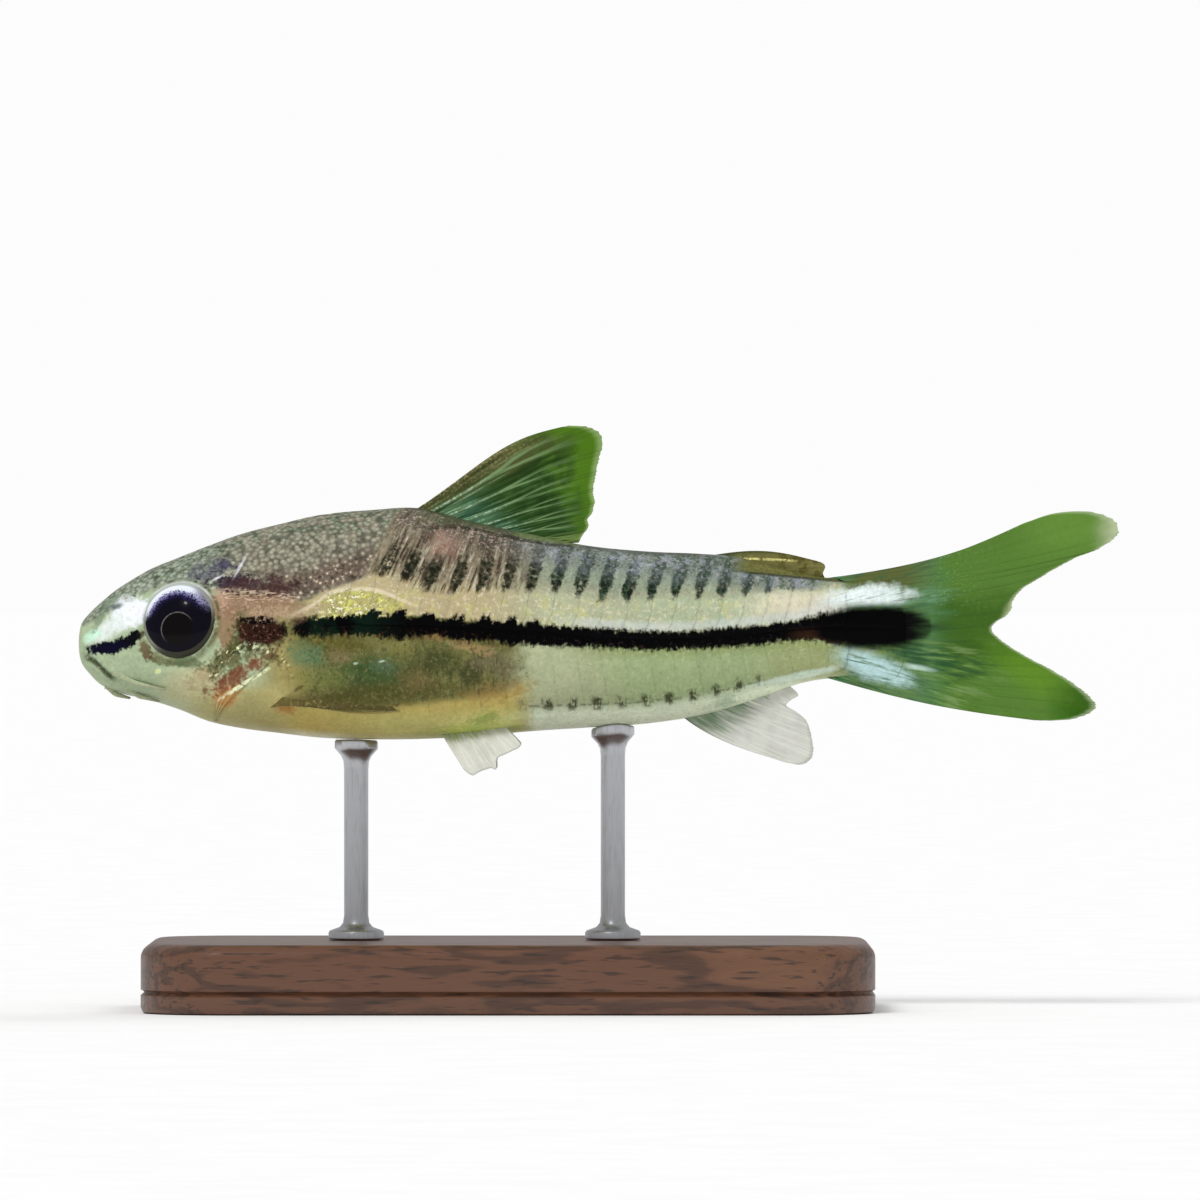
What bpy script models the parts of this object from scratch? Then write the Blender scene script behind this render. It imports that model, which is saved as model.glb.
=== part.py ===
"""Pygmy corydoras swimming level, modelled life size on a small display stand.

The fish heads towards -X, with its left side towards -Y. Sizes are in millimetres in the
fish's own axes: x runs back from the tip of the snout, y out to the right side and z up from
the lateral seam. MM turns them into Blender's metres, and two empties place fish and stand.
"""

import math

import bmesh
import bpy
import numpy as np
from mathutils import Matrix, Vector

MM = 0.001

# Driving sizes
TOTAL_LENGTH = 30.0
SEAM_HEIGHT = 11.0
GAP = 0.25
SOCKET_GAP = 0.15
SHARP_ANGLE = math.radians(35)
# Farther out from the midline than any part of the head
BEYOND_HEAD = 4.0

# Lines of the body: distance from the snout, heights of the back and the belly, half width,
# height of the widest point, and squareness of the belly, where 2 is an ellipse.
BODY_LINES = (
    (0.00, -0.45, -0.45, 0.00, -0.45, 2.0),
    (0.04, -0.02, -0.86, 0.42, -0.45, 2.0),
    (0.33, 0.44, -1.34, 0.86, -0.48, 2.0),
    (0.62, 0.72, -1.62, 1.06, -0.50, 2.1),
    (1.20, 1.18, -1.88, 1.36, -0.50, 2.2),
    (2.06, 1.67, -2.08, 1.70, -0.50, 2.3),
    (2.93, 2.05, -2.36, 1.95, -0.55, 2.3),
    (3.79, 2.39, -2.70, 2.14, -0.65, 2.4),
    (4.65, 2.70, -2.88, 2.30, -0.80, 2.5),
    (5.81, 3.00, -3.03, 2.44, -0.95, 2.6),
    (6.96, 3.26, -3.16, 2.50, -1.05, 2.6),
    (8.40, 3.40, -3.21, 2.46, -1.10, 2.6),
    (9.84, 3.45, -3.20, 2.36, -1.05, 2.6),
    (11.3, 3.08, -3.13, 2.22, -0.95, 2.5),
    (13.0, 2.71, -2.98, 2.02, -0.80, 2.4),
    (14.7, 2.37, -2.87, 1.80, -0.62, 2.3),
    (16.5, 2.20, -2.74, 1.54, -0.42, 2.2),
    (17.9, 2.14, -2.52, 1.30, -0.28, 2.2),
    (18.9, 2.06, -2.25, 1.13, -0.18, 2.1),
    (19.9, 1.81, -1.91, 0.96, -0.09, 2.1),
    (20.8, 1.58, -1.60, 0.80, -0.03, 2.0),
    (21.7, 1.44, -1.45, 0.64, 0.00, 2.0),
    (22.9, 1.52, -1.54, 0.44, 0.00, 2.0),
)

# Rings round the body. A ring's place along a side is its row: 1 on the back, 0 on the
# lateral seam and -1 on the belly. The second number tells how far plates are raised there.
ROWS = (
    (1.00, 0.0), (0.90, 0.0), (0.86, 1.0), (0.68, 1.0), (0.48, 1.0), (0.28, 1.0), (0.06, 1.0),
    (0.00, 0.0), (-0.05, 1.0), (-0.20, 1.0), (-0.36, 1.0), (-0.52, 1.0), (-0.62, 1.0),
    (-0.67, 0.0), (-0.84, 0.0), (-1.00, 0.0),
)

# Head and bony plates
HEAD_END = 6.15
HEAD_RINGS = 24
GILL_SLANT = ((-1.0, -2.2), (-0.5, -1.85), (-0.25, -1.15), (0.0, 0.0), (0.5, 0.7), (1.0, 1.05))
SLANT_POWER = 1.5
SEAM_LIMIT = 0.4
PLATES_START = 6.75
PLATES_LEVEL = 9.6
PLATE_COUNT = 22
PLATE_LENGTH = (0.80, 0.60)
TRUNK_PLATES = 14
PLATE_RISE = 0.11
PLATE_STEP = 0.09
PLATE_LEAN = 0.5
# How high a plate stands along its length: place and share of the full rise
PLATE_PROFILE = ((0.0, 0.15), (0.6, 0.75), (1.0, 1.0))
TAIL_BOW_START = 20.2
TAIL_BOW = 0.5
TAIL_END = 22.75

# Eyes
EYE_X = 2.94
EYE_Z = 0.23
EYE_RADIUS = 1.12
EYE_HALF_DEPTH = 0.50
EYE_SINK = 0.20
RIM_RADIUS = 1.62
RIM_HALF_DEPTH = 0.36
# Distance before, behind, above and below the eye over which the flank's slope is taken
EYE_SPAN = 0.8

# Mouth, lips and nostrils, by distance from the snout and height
MOUTH_LINE = ((-0.30, -0.76), (0.20, -0.82), (0.55, -1.02), (0.85, -1.32), (1.16, -1.50))
MOUTH_SLIT = 0.13
LIP_RADIUS = 0.17
LIP_OFFSET = 0.17
LIP_FRONT = 0.22
LIP_LEAN = 0.4
LIP_SETBACK = 0.08
LIP_CORNER_SHARE = 0.55
LIP_STEPS = 8
LIP_STEP_POWER = 1.6
NOSTRILS = ((1.02, 0.56, 0.17), (1.50, 0.78, 0.19))
NOSTRIL_BORE = 0.09
NOSTRIL_RISE = 0.10
NOSTRIL_DEPTH = 0.22
NOSTRIL_TAPER = 0.8
NOSTRIL_AIM = (-0.55, 0.75, 0.37)

# Gill cover, in side view, which runs on past the rear of the head
GILL_COVER = (
    (4.85, 0.46), (4.62, 0.30), (4.52, -0.10), (4.38, -0.70), (4.14, -1.30), (3.86, -1.76),
    (3.82, -2.05), (4.00, -2.25), (6.60, -2.25), (6.90, 0.46),
)
GILL_COVER_INNER = 1.35

# Barbels: name, root and tip, each by distance from the snout and from the midline
BARBELS = (
    ("maxillary", (1.05, 1.08), (2.55, 1.44)),
    ("rictal", (1.45, 0.70), (2.35, 0.84)),
    ("chin", (0.80, 0.27), (1.48, 0.30)),
)
BARBEL_ROOT_RADIUS = 0.24
BARBEL_TIP_RADIUS = 0.08
BARBEL_GAP = 0.20
BARBEL_STEPS = 7
BARBEL_TAPER_POWER = 0.8

# Fins
FIN_THICKNESS = 0.50
MARGIN_THICKNESS = 0.30
RAY_RISE = 0.10
RAY_FOOT = 0.16
RAY_FALL = 0.7
WEB_INSET = 0.035
THIN_MARGIN = 0.25
ROWS_ALONG_RAY = (0.0, 0.16, 0.34, 0.52, 0.70, 0.86, 1.0)

DORSAL_ROOT = (9.75, 14.25)
DORSAL_MARGIN = (
    (13.85, 5.83), (14.92, 5.72), (15.09, 5.22), (14.97, 4.55),
    (14.88, 3.92), (14.80, 3.40), (14.68, 2.94), (14.48, 2.66),
)
DORSAL_BOW = 0.28
DORSAL_BOW_PLACE = 2.0

ADIPOSE_ROOT = (18.85, 21.35)
ADIPOSE_MARGIN = ((21.53, 1.93), (21.55, 1.80), (21.52, 1.72))
ADIPOSE_BOW = 0.14
ADIPOSE_ROOT_GAP = 0.20

ANAL_ROOT = (17.65, 20.35)
ANAL_MARGIN = (
    (20.45, -3.90), (20.98, -3.94), (21.12, -3.50), (21.05, -2.95),
    (20.86, -2.50), (20.52, -2.24), (20.72, -1.90),
)
ANAL_BOW = -0.10
EVEN_BOW_PLACE = 1.0

TAIL_ROOT_X = (22.45, 23.05)
TAIL_ROOT_Z = (1.52, 0.16)
TAIL_LOBES = (
    # name, side, bow of the outer ray, margin from the outer ray to the fork
    ("upper", 1, -0.16, (
        (29.0, 3.40), (30.02, 3.00), (29.60, 2.42), (28.50, 1.86),
        (27.50, 1.24), (26.75, 0.56), (26.38, 0.16),
    )),
    ("lower", -1, 0.20, (
        (28.2, 2.66), (29.20, 2.42), (29.10, 2.02), (28.20, 1.36),
        (27.42, 0.84), (26.80, 0.42), (26.42, 0.16),
    )),
)

PELVIC_ROOT = (10.75, 12.35)
PELVIC_MARGIN = (
    (11.22, -4.16), (11.52, -4.22), (11.88, -4.08), (12.20, -3.84), (12.50, -3.56), (12.72, -3.30),
)
PELVIC_INNER = 1.05
PELVIC_SPLAY = math.radians(42)

PECTORAL_ROOT_X = (5.30, 5.95)
PECTORAL_ROOT_Z = -1.95
PECTORAL_MARGIN = (
    # distance from the snout, and distance out from the midline
    (9.15, 4.75), (9.35, 4.35), (9.25, 3.95), (9.00, 3.62),
    (8.65, 3.36), (8.25, 3.18), (7.85, 3.06), (7.45, 2.98),
)
PECTORAL_ROOT_GAP = 0.35
PECTORAL_FALL = 0.12
PECTORAL_TILT = 0.30

# Stand
BASE_LENGTH = 21.0
BASE_WIDTH = 12.0
BASE_HEIGHT = 2.0
BASE_CENTRE = 12.4
BASE_CORNER = 2.5
BASE_CHAMFER = 0.4
ROD_SIDES = 20
ROD_PLACES = (("front", 8.0), ("rear", 15.4))
# Radius of a rod by height, first above the base and then below the belly
ROD_FOOT = ((0.80, 0.0), (0.80, 0.25), (0.68, 0.35), (0.35, 0.36))
ROD_CUP = ((0.35, 0.50), (0.62, 0.20), (0.62, 0.0))

MATERIALS = {
    # colour, roughness and metallic value
    "skin": ((0.42, 0.43, 0.27), 0.35, 0.0),
    "gill_cover": ((0.36, 0.24, 0.14), 0.35, 0.0),
    "eye": ((0.02, 0.02, 0.04), 0.10, 0.0),
    "barbel": ((0.52, 0.50, 0.36), 0.45, 0.0),
    "green_fin": ((0.10, 0.19, 0.04), 0.40, 0.0),
    "clear_fin": ((0.58, 0.60, 0.53), 0.40, 0.0),
    "walnut": ((0.20, 0.11, 0.06), 0.50, 0.0),
    "steel": ((0.60, 0.60, 0.60), 0.30, 1.0),
}


# Curves and the surface of the body

def along(knots, t):
    """The value at t of a smooth curve through (t, value) knots."""
    places, values = np.array(knots, float).T
    slopes = np.gradient(values, places)
    i = int(np.clip(np.searchsorted(places, t) - 1, 0, len(places) - 2))
    width = places[i + 1] - places[i]
    f = min(max((t - places[i]) / width, 0.0), 1.0)
    return float(
        (1 + 2 * f) * (1 - f) ** 2 * values[i]
        + f * (1 - f) ** 2 * width * slopes[i]
        + f * f * (3 - 2 * f) * values[i + 1]
        - f * f * (1 - f) * width * slopes[i + 1]
    )


def body_line(column):
    """One of the body's lines as a function of x. Its knots stand by the root of x, for a round snout."""
    knots = [(math.sqrt(line[0]), line[column]) for line in BODY_LINES]
    return lambda x: along(knots, math.sqrt(max(x, 0.0)))


back = body_line(1)
belly = body_line(2)
half_width = body_line(3)
widest = body_line(4)
squareness = body_line(5)


def ease(f):
    f = min(max(f, 0.0), 1.0)
    return f * f * (3 - 2 * f)


def between(ends, v):
    return ends[0] + (ends[1] - ends[0]) * v


def flank(x, z):
    """Half width of the body at distance x and height z."""
    centre = widest(x)
    if z >= centre:
        power, share = 2.0, (z - centre) / (back(x) - centre)
    else:
        power, share = squareness(x), (centre - z) / (centre - belly(x))
    return half_width(x) * (1 - min(share, 1.0) ** power) ** (1 / power)


def underside(x, y):
    """Height of the belly's surface at distance x and y."""
    power = squareness(x)
    share = min(abs(y) / half_width(x), 1.0)
    return widest(x) - (widest(x) - belly(x)) * (1 - share ** power) ** (1 / power)


def slant(s, row):
    """How far behind s a ring lies at a row: by the gill opening, the plates' chevrons and the tail root."""
    gill = along(GILL_SLANT, row)
    plates = PLATE_LEAN * abs(row)
    if s <= HEAD_END:
        return gill * (s / HEAD_END) ** SLANT_POWER
    level = ease((s - HEAD_END) / (PLATES_LEVEL - HEAD_END))
    bowed = ease((s - TAIL_BOW_START) / (TAIL_END - TAIL_BOW_START))
    return (gill * (1 - level) + plates * level) * (1 - bowed) - TAIL_BOW * row * row * bowed


def skin_point(s, row, side, rise):
    """A point of the body's surface on the ring at s, raised by rise along the surface's normal."""
    x = s + slant(s, row)
    top, low, wide, centre = back(x), belly(x), half_width(x), widest(x)
    seam = math.acos(min(SEAM_LIMIT, -centre / max(top - centre, 0.01)))
    angle = (1 - row) * seam if row >= 0 else seam - row * (math.pi - seam)
    up, out = math.cos(angle), math.sin(angle)
    power = 2.0 if up >= 0 else squareness(x)
    reach = top - centre if up >= 0 else centre - low
    y = wide * abs(out) ** (2 / power)
    z = math.copysign(reach * abs(up) ** (2 / power), up)
    normal = Vector((0, y / max(wide, 0.01) ** 2, z / max(reach, 0.01) ** 2))
    if normal.length > 0:
        normal.normalize()
    return Vector((x, side * (y + rise * normal.y), centre + z + rise * normal.z))


# Solids

def solid(name, points, faces):
    """A mesh object in millimetres."""
    mesh = bpy.data.meshes.new(name)
    mesh.from_pydata([tuple(p) for p in points], [], faces)
    obj = bpy.data.objects.new(name, mesh)
    bpy.context.scene.collection.objects.link(obj)
    return obj


def lofted(name, rings, front=None, rear=None):
    """A closed solid through rings of equal count, ended by fans to a point or to the ring's middle."""
    count = len(rings[0])
    points = [p for ring in rings for p in ring]
    faces = []
    for r in range(len(rings) - 1):
        for i in range(count):
            j = (i + 1) % count
            a, b = r * count, (r + 1) * count
            faces.append((a + i, a + j, b + j, b + i))
    last = len(points) - count
    for ring, first, apex, turned in ((rings[0], 0, front, True), (rings[-1], last, rear, False)):
        points.append(apex or sum(ring, Vector()) / count)
        for i in range(count):
            edge = (first + i, first + (i + 1) % count)
            faces.append((*(edge[::-1] if turned else edge), len(points) - 1))
    return solid(name, points, faces)


def body_ring(s, rise=0.0):
    """Points round the body at s: down the left side, then up the right."""
    left = [skin_point(s, row, -1, rise * raised) for row, raised in ROWS]
    right = [skin_point(s, row, 1, rise * raised) for row, raised in ROWS[-2:0:-1]]
    return left + right


def tube(name, path, radii, sides=8):
    """A round tube along path, with a radius at each of its points."""
    rings = []
    across = None
    for i, (centre, radius) in enumerate(zip(path, radii)):
        way = (path[min(i + 1, len(path) - 1)] - path[max(i - 1, 0)]).normalized()
        across = (across or way.orthogonal()) - way * (across or way.orthogonal()).dot(way)
        across.normalize()
        other = way.cross(across)
        turns = [2 * math.pi * n / sides for n in range(sides)]
        rings.append([centre + radius * (math.cos(t) * across + math.sin(t) * other) for t in turns])
    return lofted(name, rings)


def prism(name, outline, low, high):
    """The outline in side view, an (x, z) list, run from y = low to y = high."""
    count = len(outline)
    points = [Vector((x, y, z)) for y in (low, high) for x, z in outline]
    faces = [tuple(range(count)), tuple(range(2 * count - 1, count - 1, -1))]
    faces += [(i, i + count, (i + 1) % count + count, (i + 1) % count) for i in range(count)]
    return solid(name, points, faces)


def lens(name, centre, axis, radius, half_depth, segments=24, rings=12):
    """A flattened ball whose short axis points along axis."""
    obj = solid(name, [], [])
    shape = bmesh.new()
    bmesh.ops.create_uvsphere(shape, u_segments=segments, v_segments=rings, radius=1)
    turned = axis.to_track_quat("Z", "Y").to_matrix().to_4x4()
    shape.transform(Matrix.Translation(centre) @ turned @ Matrix.Diagonal((radius, radius, half_depth, 1)))
    shape.to_mesh(obj.data)
    shape.free()
    return obj


def face_outwards(obj):
    shape = bmesh.new()
    shape.from_mesh(obj.data)
    bmesh.ops.recalc_face_normals(shape, faces=shape.faces)
    if shape.calc_volume(signed=True) < 0:
        bmesh.ops.reverse_faces(shape, faces=shape.faces)
    shape.to_mesh(obj.data)
    shape.free()


def keep_largest(obj):
    """Drops all but the largest closed surface."""
    shape = bmesh.new()
    shape.from_mesh(obj.data)
    islands = []
    left = set(shape.faces)
    while left:
        island, edge = set(), [left.pop()]
        while edge:
            face = edge.pop()
            island.add(face)
            near = {f for e in face.edges for f in e.link_faces if f in left}
            left -= near
            edge.extend(near)
        islands.append(island)
    islands.sort(key=lambda faces: sum(f.calc_area() for f in faces))
    for island in islands[:-1]:
        bmesh.ops.delete(shape, geom=list(island), context="FACES")
    shape.to_mesh(obj.data)
    shape.free()


def combine(obj, others, operation):
    """Applies one Boolean of obj with the other solids, and removes them."""
    group = bpy.data.collections.new("operands")
    for other in [obj, *others]:
        face_outwards(other)
    for other in others:
        group.objects.link(other)
    boolean = obj.modifiers.new("combine", "BOOLEAN")
    boolean.operation = operation
    boolean.operand_type = "COLLECTION"
    boolean.collection = group
    boolean.solver = "EXACT"
    graph = bpy.context.evaluated_depsgraph_get()
    made = bpy.data.meshes.new_from_object(obj.evaluated_get(graph))
    obj.modifiers.clear()
    obj.data = made
    for other in others:
        bpy.data.objects.remove(other)
    bpy.data.collections.remove(group)
    keep_largest(obj)


def widened(outline, by):
    """The outline moved outwards by a distance."""
    flat = [Vector(p) for p in outline]
    turn = sum(a.cross(b) for a, b in zip(flat, flat[1:] + flat[:1]))
    moved = []
    for before, here, after in zip(flat[-1:] + flat[:-1], flat, flat[1:] + flat[:1]):
        one = (here - before).normalized()
        two = (after - here).normalized()
        way = (one + two).normalized()
        out = Vector((way.y, -way.x)) * math.copysign(1, turn)
        moved.append(here + out * by / max(way.dot(one), 0.5))
    return [tuple(p) for p in moved]


# Head

def mouth_height(x):
    return along(MOUTH_LINE, x)


def lip_path(offset):
    """Points along a lip from the left corner of the mouth round the snout to the right one."""
    corner = MOUTH_LINE[-1][0]
    places = [corner * (i / LIP_STEPS) ** LIP_STEP_POWER for i in range(LIP_STEPS, 0, -1)]
    left = []
    for x in places:
        z = mouth_height(x) + offset
        left.append(Vector((x + LIP_SETBACK, -flank(x, z), z)))
    front = Vector((LIP_FRONT - LIP_LEAN * offset, 0, mouth_height(0.0) + offset))
    right = [Vector((p.x, -p.y, p.z)) for p in reversed(left)]
    return left + [front] + right


def lips():
    made = []
    for name, offset in (("upper", LIP_OFFSET), ("lower", -LIP_OFFSET)):
        path = lip_path(offset)
        middle = (len(path) - 1) / 2
        fall = 1 - LIP_CORNER_SHARE
        radii = [LIP_RADIUS * (1 - fall * abs(i - middle) / middle) for i in range(len(path))]
        made.append(tube("lip_" + name, path, radii))
    return made


def mouth_cutter():
    ends = MOUTH_LINE[0][0], MOUTH_LINE[-1][0]
    steps = [between(ends, i / LIP_STEPS) for i in range(LIP_STEPS + 1)]
    upper = [(x, mouth_height(x) + MOUTH_SLIT / 2) for x in steps]
    lower = [(x, mouth_height(x) - MOUTH_SLIT / 2) for x in reversed(steps)]
    return prism("mouth", upper + lower, -BEYOND_HEAD, BEYOND_HEAD)


def eye_shape(name, side, radius, half_depth):
    """A lens sunk a little way into the flank, square to it."""
    forward = flank(EYE_X + EYE_SPAN, EYE_Z) - flank(EYE_X - EYE_SPAN, EYE_Z)
    upward = flank(EYE_X, EYE_Z + EYE_SPAN) - flank(EYE_X, EYE_Z - EYE_SPAN)
    out = Vector((-forward, 2 * EYE_SPAN * side, -upward)).normalized()
    surface = Vector((EYE_X, side * flank(EYE_X, EYE_Z), EYE_Z))
    return lens(name, surface - out * EYE_SINK, out, radius, half_depth)


def nostril(x, z, side, radius, low, high):
    """A short tapered plug through the skin, from low to high measured out from the surface."""
    foot = Vector((x, side * flank(x, z), z))
    out = Vector((NOSTRIL_AIM[0], side * NOSTRIL_AIM[1], NOSTRIL_AIM[2])).normalized()
    ends = [foot + low * out, foot + high * out]
    return tube("nostril", ends, [radius, radius * NOSTRIL_TAPER], sides=10)


def gill_cover_block(side, by):
    """The block that takes in the gill cover, widened by a gap."""
    inner = GILL_COVER_INNER - by
    return prism("gill_block", widened(GILL_COVER, by), *sorted((side * inner, side * BEYOND_HEAD)))


def plain_head(name):
    rings = [body_ring(HEAD_END * (i / HEAD_RINGS) ** 2) for i in range(1, HEAD_RINGS + 1)]
    return lofted(name, rings, front=Vector((0, 0, BODY_LINES[0][1])))


def make_head():
    head = plain_head("head")
    added = lips()
    cut = [mouth_cutter()]
    for side in (-1, 1):
        added.append(eye_shape("rim", side, RIM_RADIUS, RIM_HALF_DEPTH))
        cut.append(eye_shape("socket", side, EYE_RADIUS + SOCKET_GAP, EYE_HALF_DEPTH + SOCKET_GAP))
        cut.append(gill_cover_block(side, GAP))
        for x, z, radius in NOSTRILS:
            added.append(nostril(x, z, side, radius, -radius, NOSTRIL_RISE))
            cut.append(nostril(x, z, side, NOSTRIL_BORE, -NOSTRIL_DEPTH, 4 * NOSTRIL_RISE))
    combine(head, added, "UNION")
    combine(head, cut, "DIFFERENCE")
    return head


def make_gill_covers():
    made = []
    for side, word in ((-1, "left"), (1, "right")):
        cover = plain_head("gill_cover_" + word)
        combine(cover, [gill_cover_block(side, 0.0)], "INTERSECT")
        made.append(cover)
    return made


def make_eyes():
    return [
        eye_shape("eye_" + word, side, EYE_RADIUS, EYE_HALF_DEPTH)
        for side, word in ((-1, "left"), (1, "right"))
    ]


def make_barbels():
    """Three pairs of tapered feelers that lie back along the underside of the head."""
    made = []
    steps = [i / BARBEL_STEPS for i in range(BARBEL_STEPS + 1)]
    fall = BARBEL_ROOT_RADIUS - BARBEL_TIP_RADIUS
    radii = [BARBEL_ROOT_RADIUS - fall * t ** BARBEL_TAPER_POWER for t in steps]
    for name, root, tip in BARBELS:
        for side, word in ((-1, "left"), (1, "right")):
            path = []
            for t, radius in zip(steps, radii):
                x, y = between((root[0], tip[0]), t), between((root[1], tip[1]), t)
                z = underside(x, y)
                depth = widest(x) - belly(x)
                out = Vector((0, y / half_width(x) ** 2, (z - widest(x)) / depth ** 2)).normalized()
                centre = Vector((x, y, z)) + out * (BARBEL_GAP + radius)
                path.append(Vector((centre.x, side * centre.y, centre.z)))
            made.append(tube(f"barbel_{name}_{word}", path, radii))
    return made


# Trunk and tail stalk

def plate_edge(n):
    """Where plate n starts, counted from the gills. The plates shorten evenly towards the tail."""
    first, last = PLATE_LENGTH
    return PLATES_START + n * first - n * n * (first - last) / (2 * PLATE_COUNT)


def plated_rings(front, plates):
    """Rings of the body whose bony plates each rise towards their rear edge, like shingles."""
    rings = [body_ring(front)]
    for n in plates:
        start, end = plate_edge(n), plate_edge(n + 1)
        for share, height in PLATE_PROFILE:
            place = max(start + share * (end - start), max(start, front) + PLATE_STEP)
            rings.append(body_ring(place, height * PLATE_RISE))
    return rings


def make_trunk():
    return lofted("trunk", plated_rings(HEAD_END + GAP, range(TRUNK_PLATES)))


def make_tail_stalk():
    rings = plated_rings(plate_edge(TRUNK_PLATES) + GAP, range(TRUNK_PLATES, PLATE_COUNT))
    rings.append(body_ring(plate_edge(PLATE_COUNT) + PLATE_STEP))
    rings.append(body_ring(TAIL_END))
    return lofted("tail_stalk", rings)


# Fins

def fin(name, root, margin, place, normal, bow=0.0, bow_place=EVEN_BOW_PLACE):
    """A fin whose rays stand as ridges on both faces.

    root gives a point for v from 0 at the leading ray to 1, margin lists the rays' tips, and
    place turns such a flat point into a point in space. bow bends the leading ray, nearer its
    tip the larger bow_place is.
    """
    last = len(margin) - 1
    tips = [[(i / last, tip[axis]) for i, tip in enumerate(margin)] for axis in (0, 1)]
    foot = RAY_FOOT / last
    columns = []
    for i in range(last + 1):
        columns += [(i / last + shift, raised) for shift, raised in ((-foot, 0), (0, 1), (foot, 0))]
    columns = [(v, raised) for v, raised in columns if -1e-6 <= v <= 1 + 1e-6]
    faces_out = Vector(normal).normalized()
    front, rear = [], []
    for v, raised in columns:
        start = Vector(root(v))
        run = Vector([along(tips[axis], v) for axis in (0, 1)]) - start
        aside = Vector((-run.y, run.x)).normalized()
        for u in ROWS_ALONG_RAY:
            reach = u * (1 if raised else 1 - WEB_INSET * u)
            arch = bow * (1 - v) ** 2 * math.sin(math.pi * u ** bow_place)
            flat = start + run * reach + aside * arch
            thin = ease((u - 1 + THIN_MARGIN) / THIN_MARGIN)
            web = FIN_THICKNESS + (MARGIN_THICKNESS - FIN_THICKNESS) * thin
            half = web / 2 + RAY_RISE * raised * (1 - RAY_FALL * u)
            centre = place(flat)
            front.append(centre + faces_out * half)
            rear.append(centre - faces_out * half)
    across, down = len(columns), len(ROWS_ALONG_RAY)
    total = across * down
    faces = []
    for c in range(across - 1):
        for r in range(down - 1):
            a, b = c * down + r, (c + 1) * down + r
            for three in ((a, b, b + 1), (a, b + 1, a + 1)):
                faces.append(three)
                faces.append(tuple(i + total for i in reversed(three)))
    rim = [c * down for c in range(across)] + [(across - 1) * down + r for r in range(1, down)]
    rim += [c * down + down - 1 for c in range(across - 2, -1, -1)] + list(range(down - 2, 0, -1))
    for a, b in zip(rim, rim[1:] + rim[:1]):
        faces += [(b, a, a + total), (b, a + total, b + total)]
    return solid(name, front + rear, faces)


def median_place(flat):
    return Vector((flat.x, 0, flat.y))


def make_dorsal_fin():
    def root(v):
        x = between(DORSAL_ROOT, v)
        return x, back(x) + GAP

    bow = (DORSAL_BOW, DORSAL_BOW_PLACE)
    return fin("dorsal_fin", root, DORSAL_MARGIN, median_place, (0, 1, 0), *bow)


def make_adipose_fin():
    def root(v):
        x = between(ADIPOSE_ROOT, v)
        return x, back(x) + ADIPOSE_ROOT_GAP

    return fin("adipose_fin", root, ADIPOSE_MARGIN, median_place, (0, 1, 0), ADIPOSE_BOW)


def make_anal_fin():
    def root(v):
        x = between(ANAL_ROOT, v)
        return x, belly(x) - GAP

    return fin("anal_fin", root, ANAL_MARGIN, median_place, (0, 1, 0), ANAL_BOW)


def make_tail_lobes():
    made = []
    for name, side, bow, margin in TAIL_LOBES:
        def root(v):
            bend = math.sin(v * math.pi / 2)
            return between(TAIL_ROOT_X, bend) + GAP, between(TAIL_ROOT_Z, v)

        def place(flat, side=side):
            return Vector((flat.x, 0, side * flat.y))

        made.append(fin(f"tail_fin_{name}", root, margin, place, (0, 1, 0), bow))
    return made


def make_pelvic_fins():
    made = []
    for side, word in ((-1, "left"), (1, "right")):
        def root(v):
            x = between(PELVIC_ROOT, v)
            return x, underside(x, PELVIC_INNER) - GAP

        def place(flat, side=side):
            hang = underside(flat.x, PELVIC_INNER) - flat.y
            return Vector((flat.x, side * (PELVIC_INNER + hang * math.tan(PELVIC_SPLAY)), flat.y))

        normal = (0, side * math.cos(PELVIC_SPLAY), math.sin(PELVIC_SPLAY))
        made.append(fin("pelvic_fin_" + word, root, PELVIC_MARGIN, place, normal))
    return made


def make_pectoral_fins():
    made = []
    tip_x, tip_y = PECTORAL_MARGIN[0]
    for side, word in ((-1, "left"), (1, "right")):
        def root(v):
            x = between(PECTORAL_ROOT_X, v)
            return x, flank(x, PECTORAL_ROOT_Z) + PECTORAL_ROOT_GAP

        def place(flat, side=side):
            start_x, start_y = root(0)
            spine_y = start_y + (flat.x - start_x) * (tip_y - start_y) / (tip_x - start_x)
            fall = PECTORAL_FALL * (flat.x - start_x) + PECTORAL_TILT * max(spine_y - flat.y, 0)
            return Vector((flat.x, side * flat.y, PECTORAL_ROOT_Z - fall))

        normal = (0, -side * PECTORAL_TILT, 1)
        made.append(fin("pectoral_fin_" + word, root, PECTORAL_MARGIN, place, normal))
    return made


# Stand

def make_base():
    """A flat block with round corners and a chamfered top edge, in the stand's own axes."""
    rings = []
    for z, inset in ((0, 0), (BASE_HEIGHT - BASE_CHAMFER, 0), (BASE_HEIGHT, BASE_CHAMFER)):
        ring = []
        for corner in range(4):
            for step in range(7):
                angle = math.pi / 2 * (corner + step / 6)
                x_side = 1 if corner in (0, 3) else -1
                y_side = 1 if corner in (0, 1) else -1
                radius = BASE_CORNER - inset
                ring.append(Vector((
                    x_side * (BASE_LENGTH / 2 - BASE_CORNER) + radius * math.cos(angle),
                    y_side * (BASE_WIDTH / 2 - BASE_CORNER) + radius * math.sin(angle),
                    z,
                )))
        rings.append(ring)
    return lofted("stand_base", rings)


def rod_ring(place, radius):
    """Points (x, y) round a rod that stands at a distance from the snout."""
    turns = [2 * math.pi * n / ROD_SIDES for n in range(ROD_SIDES)]
    return [(place - BASE_CENTRE + radius * math.cos(t), radius * math.sin(t)) for t in turns]


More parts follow.
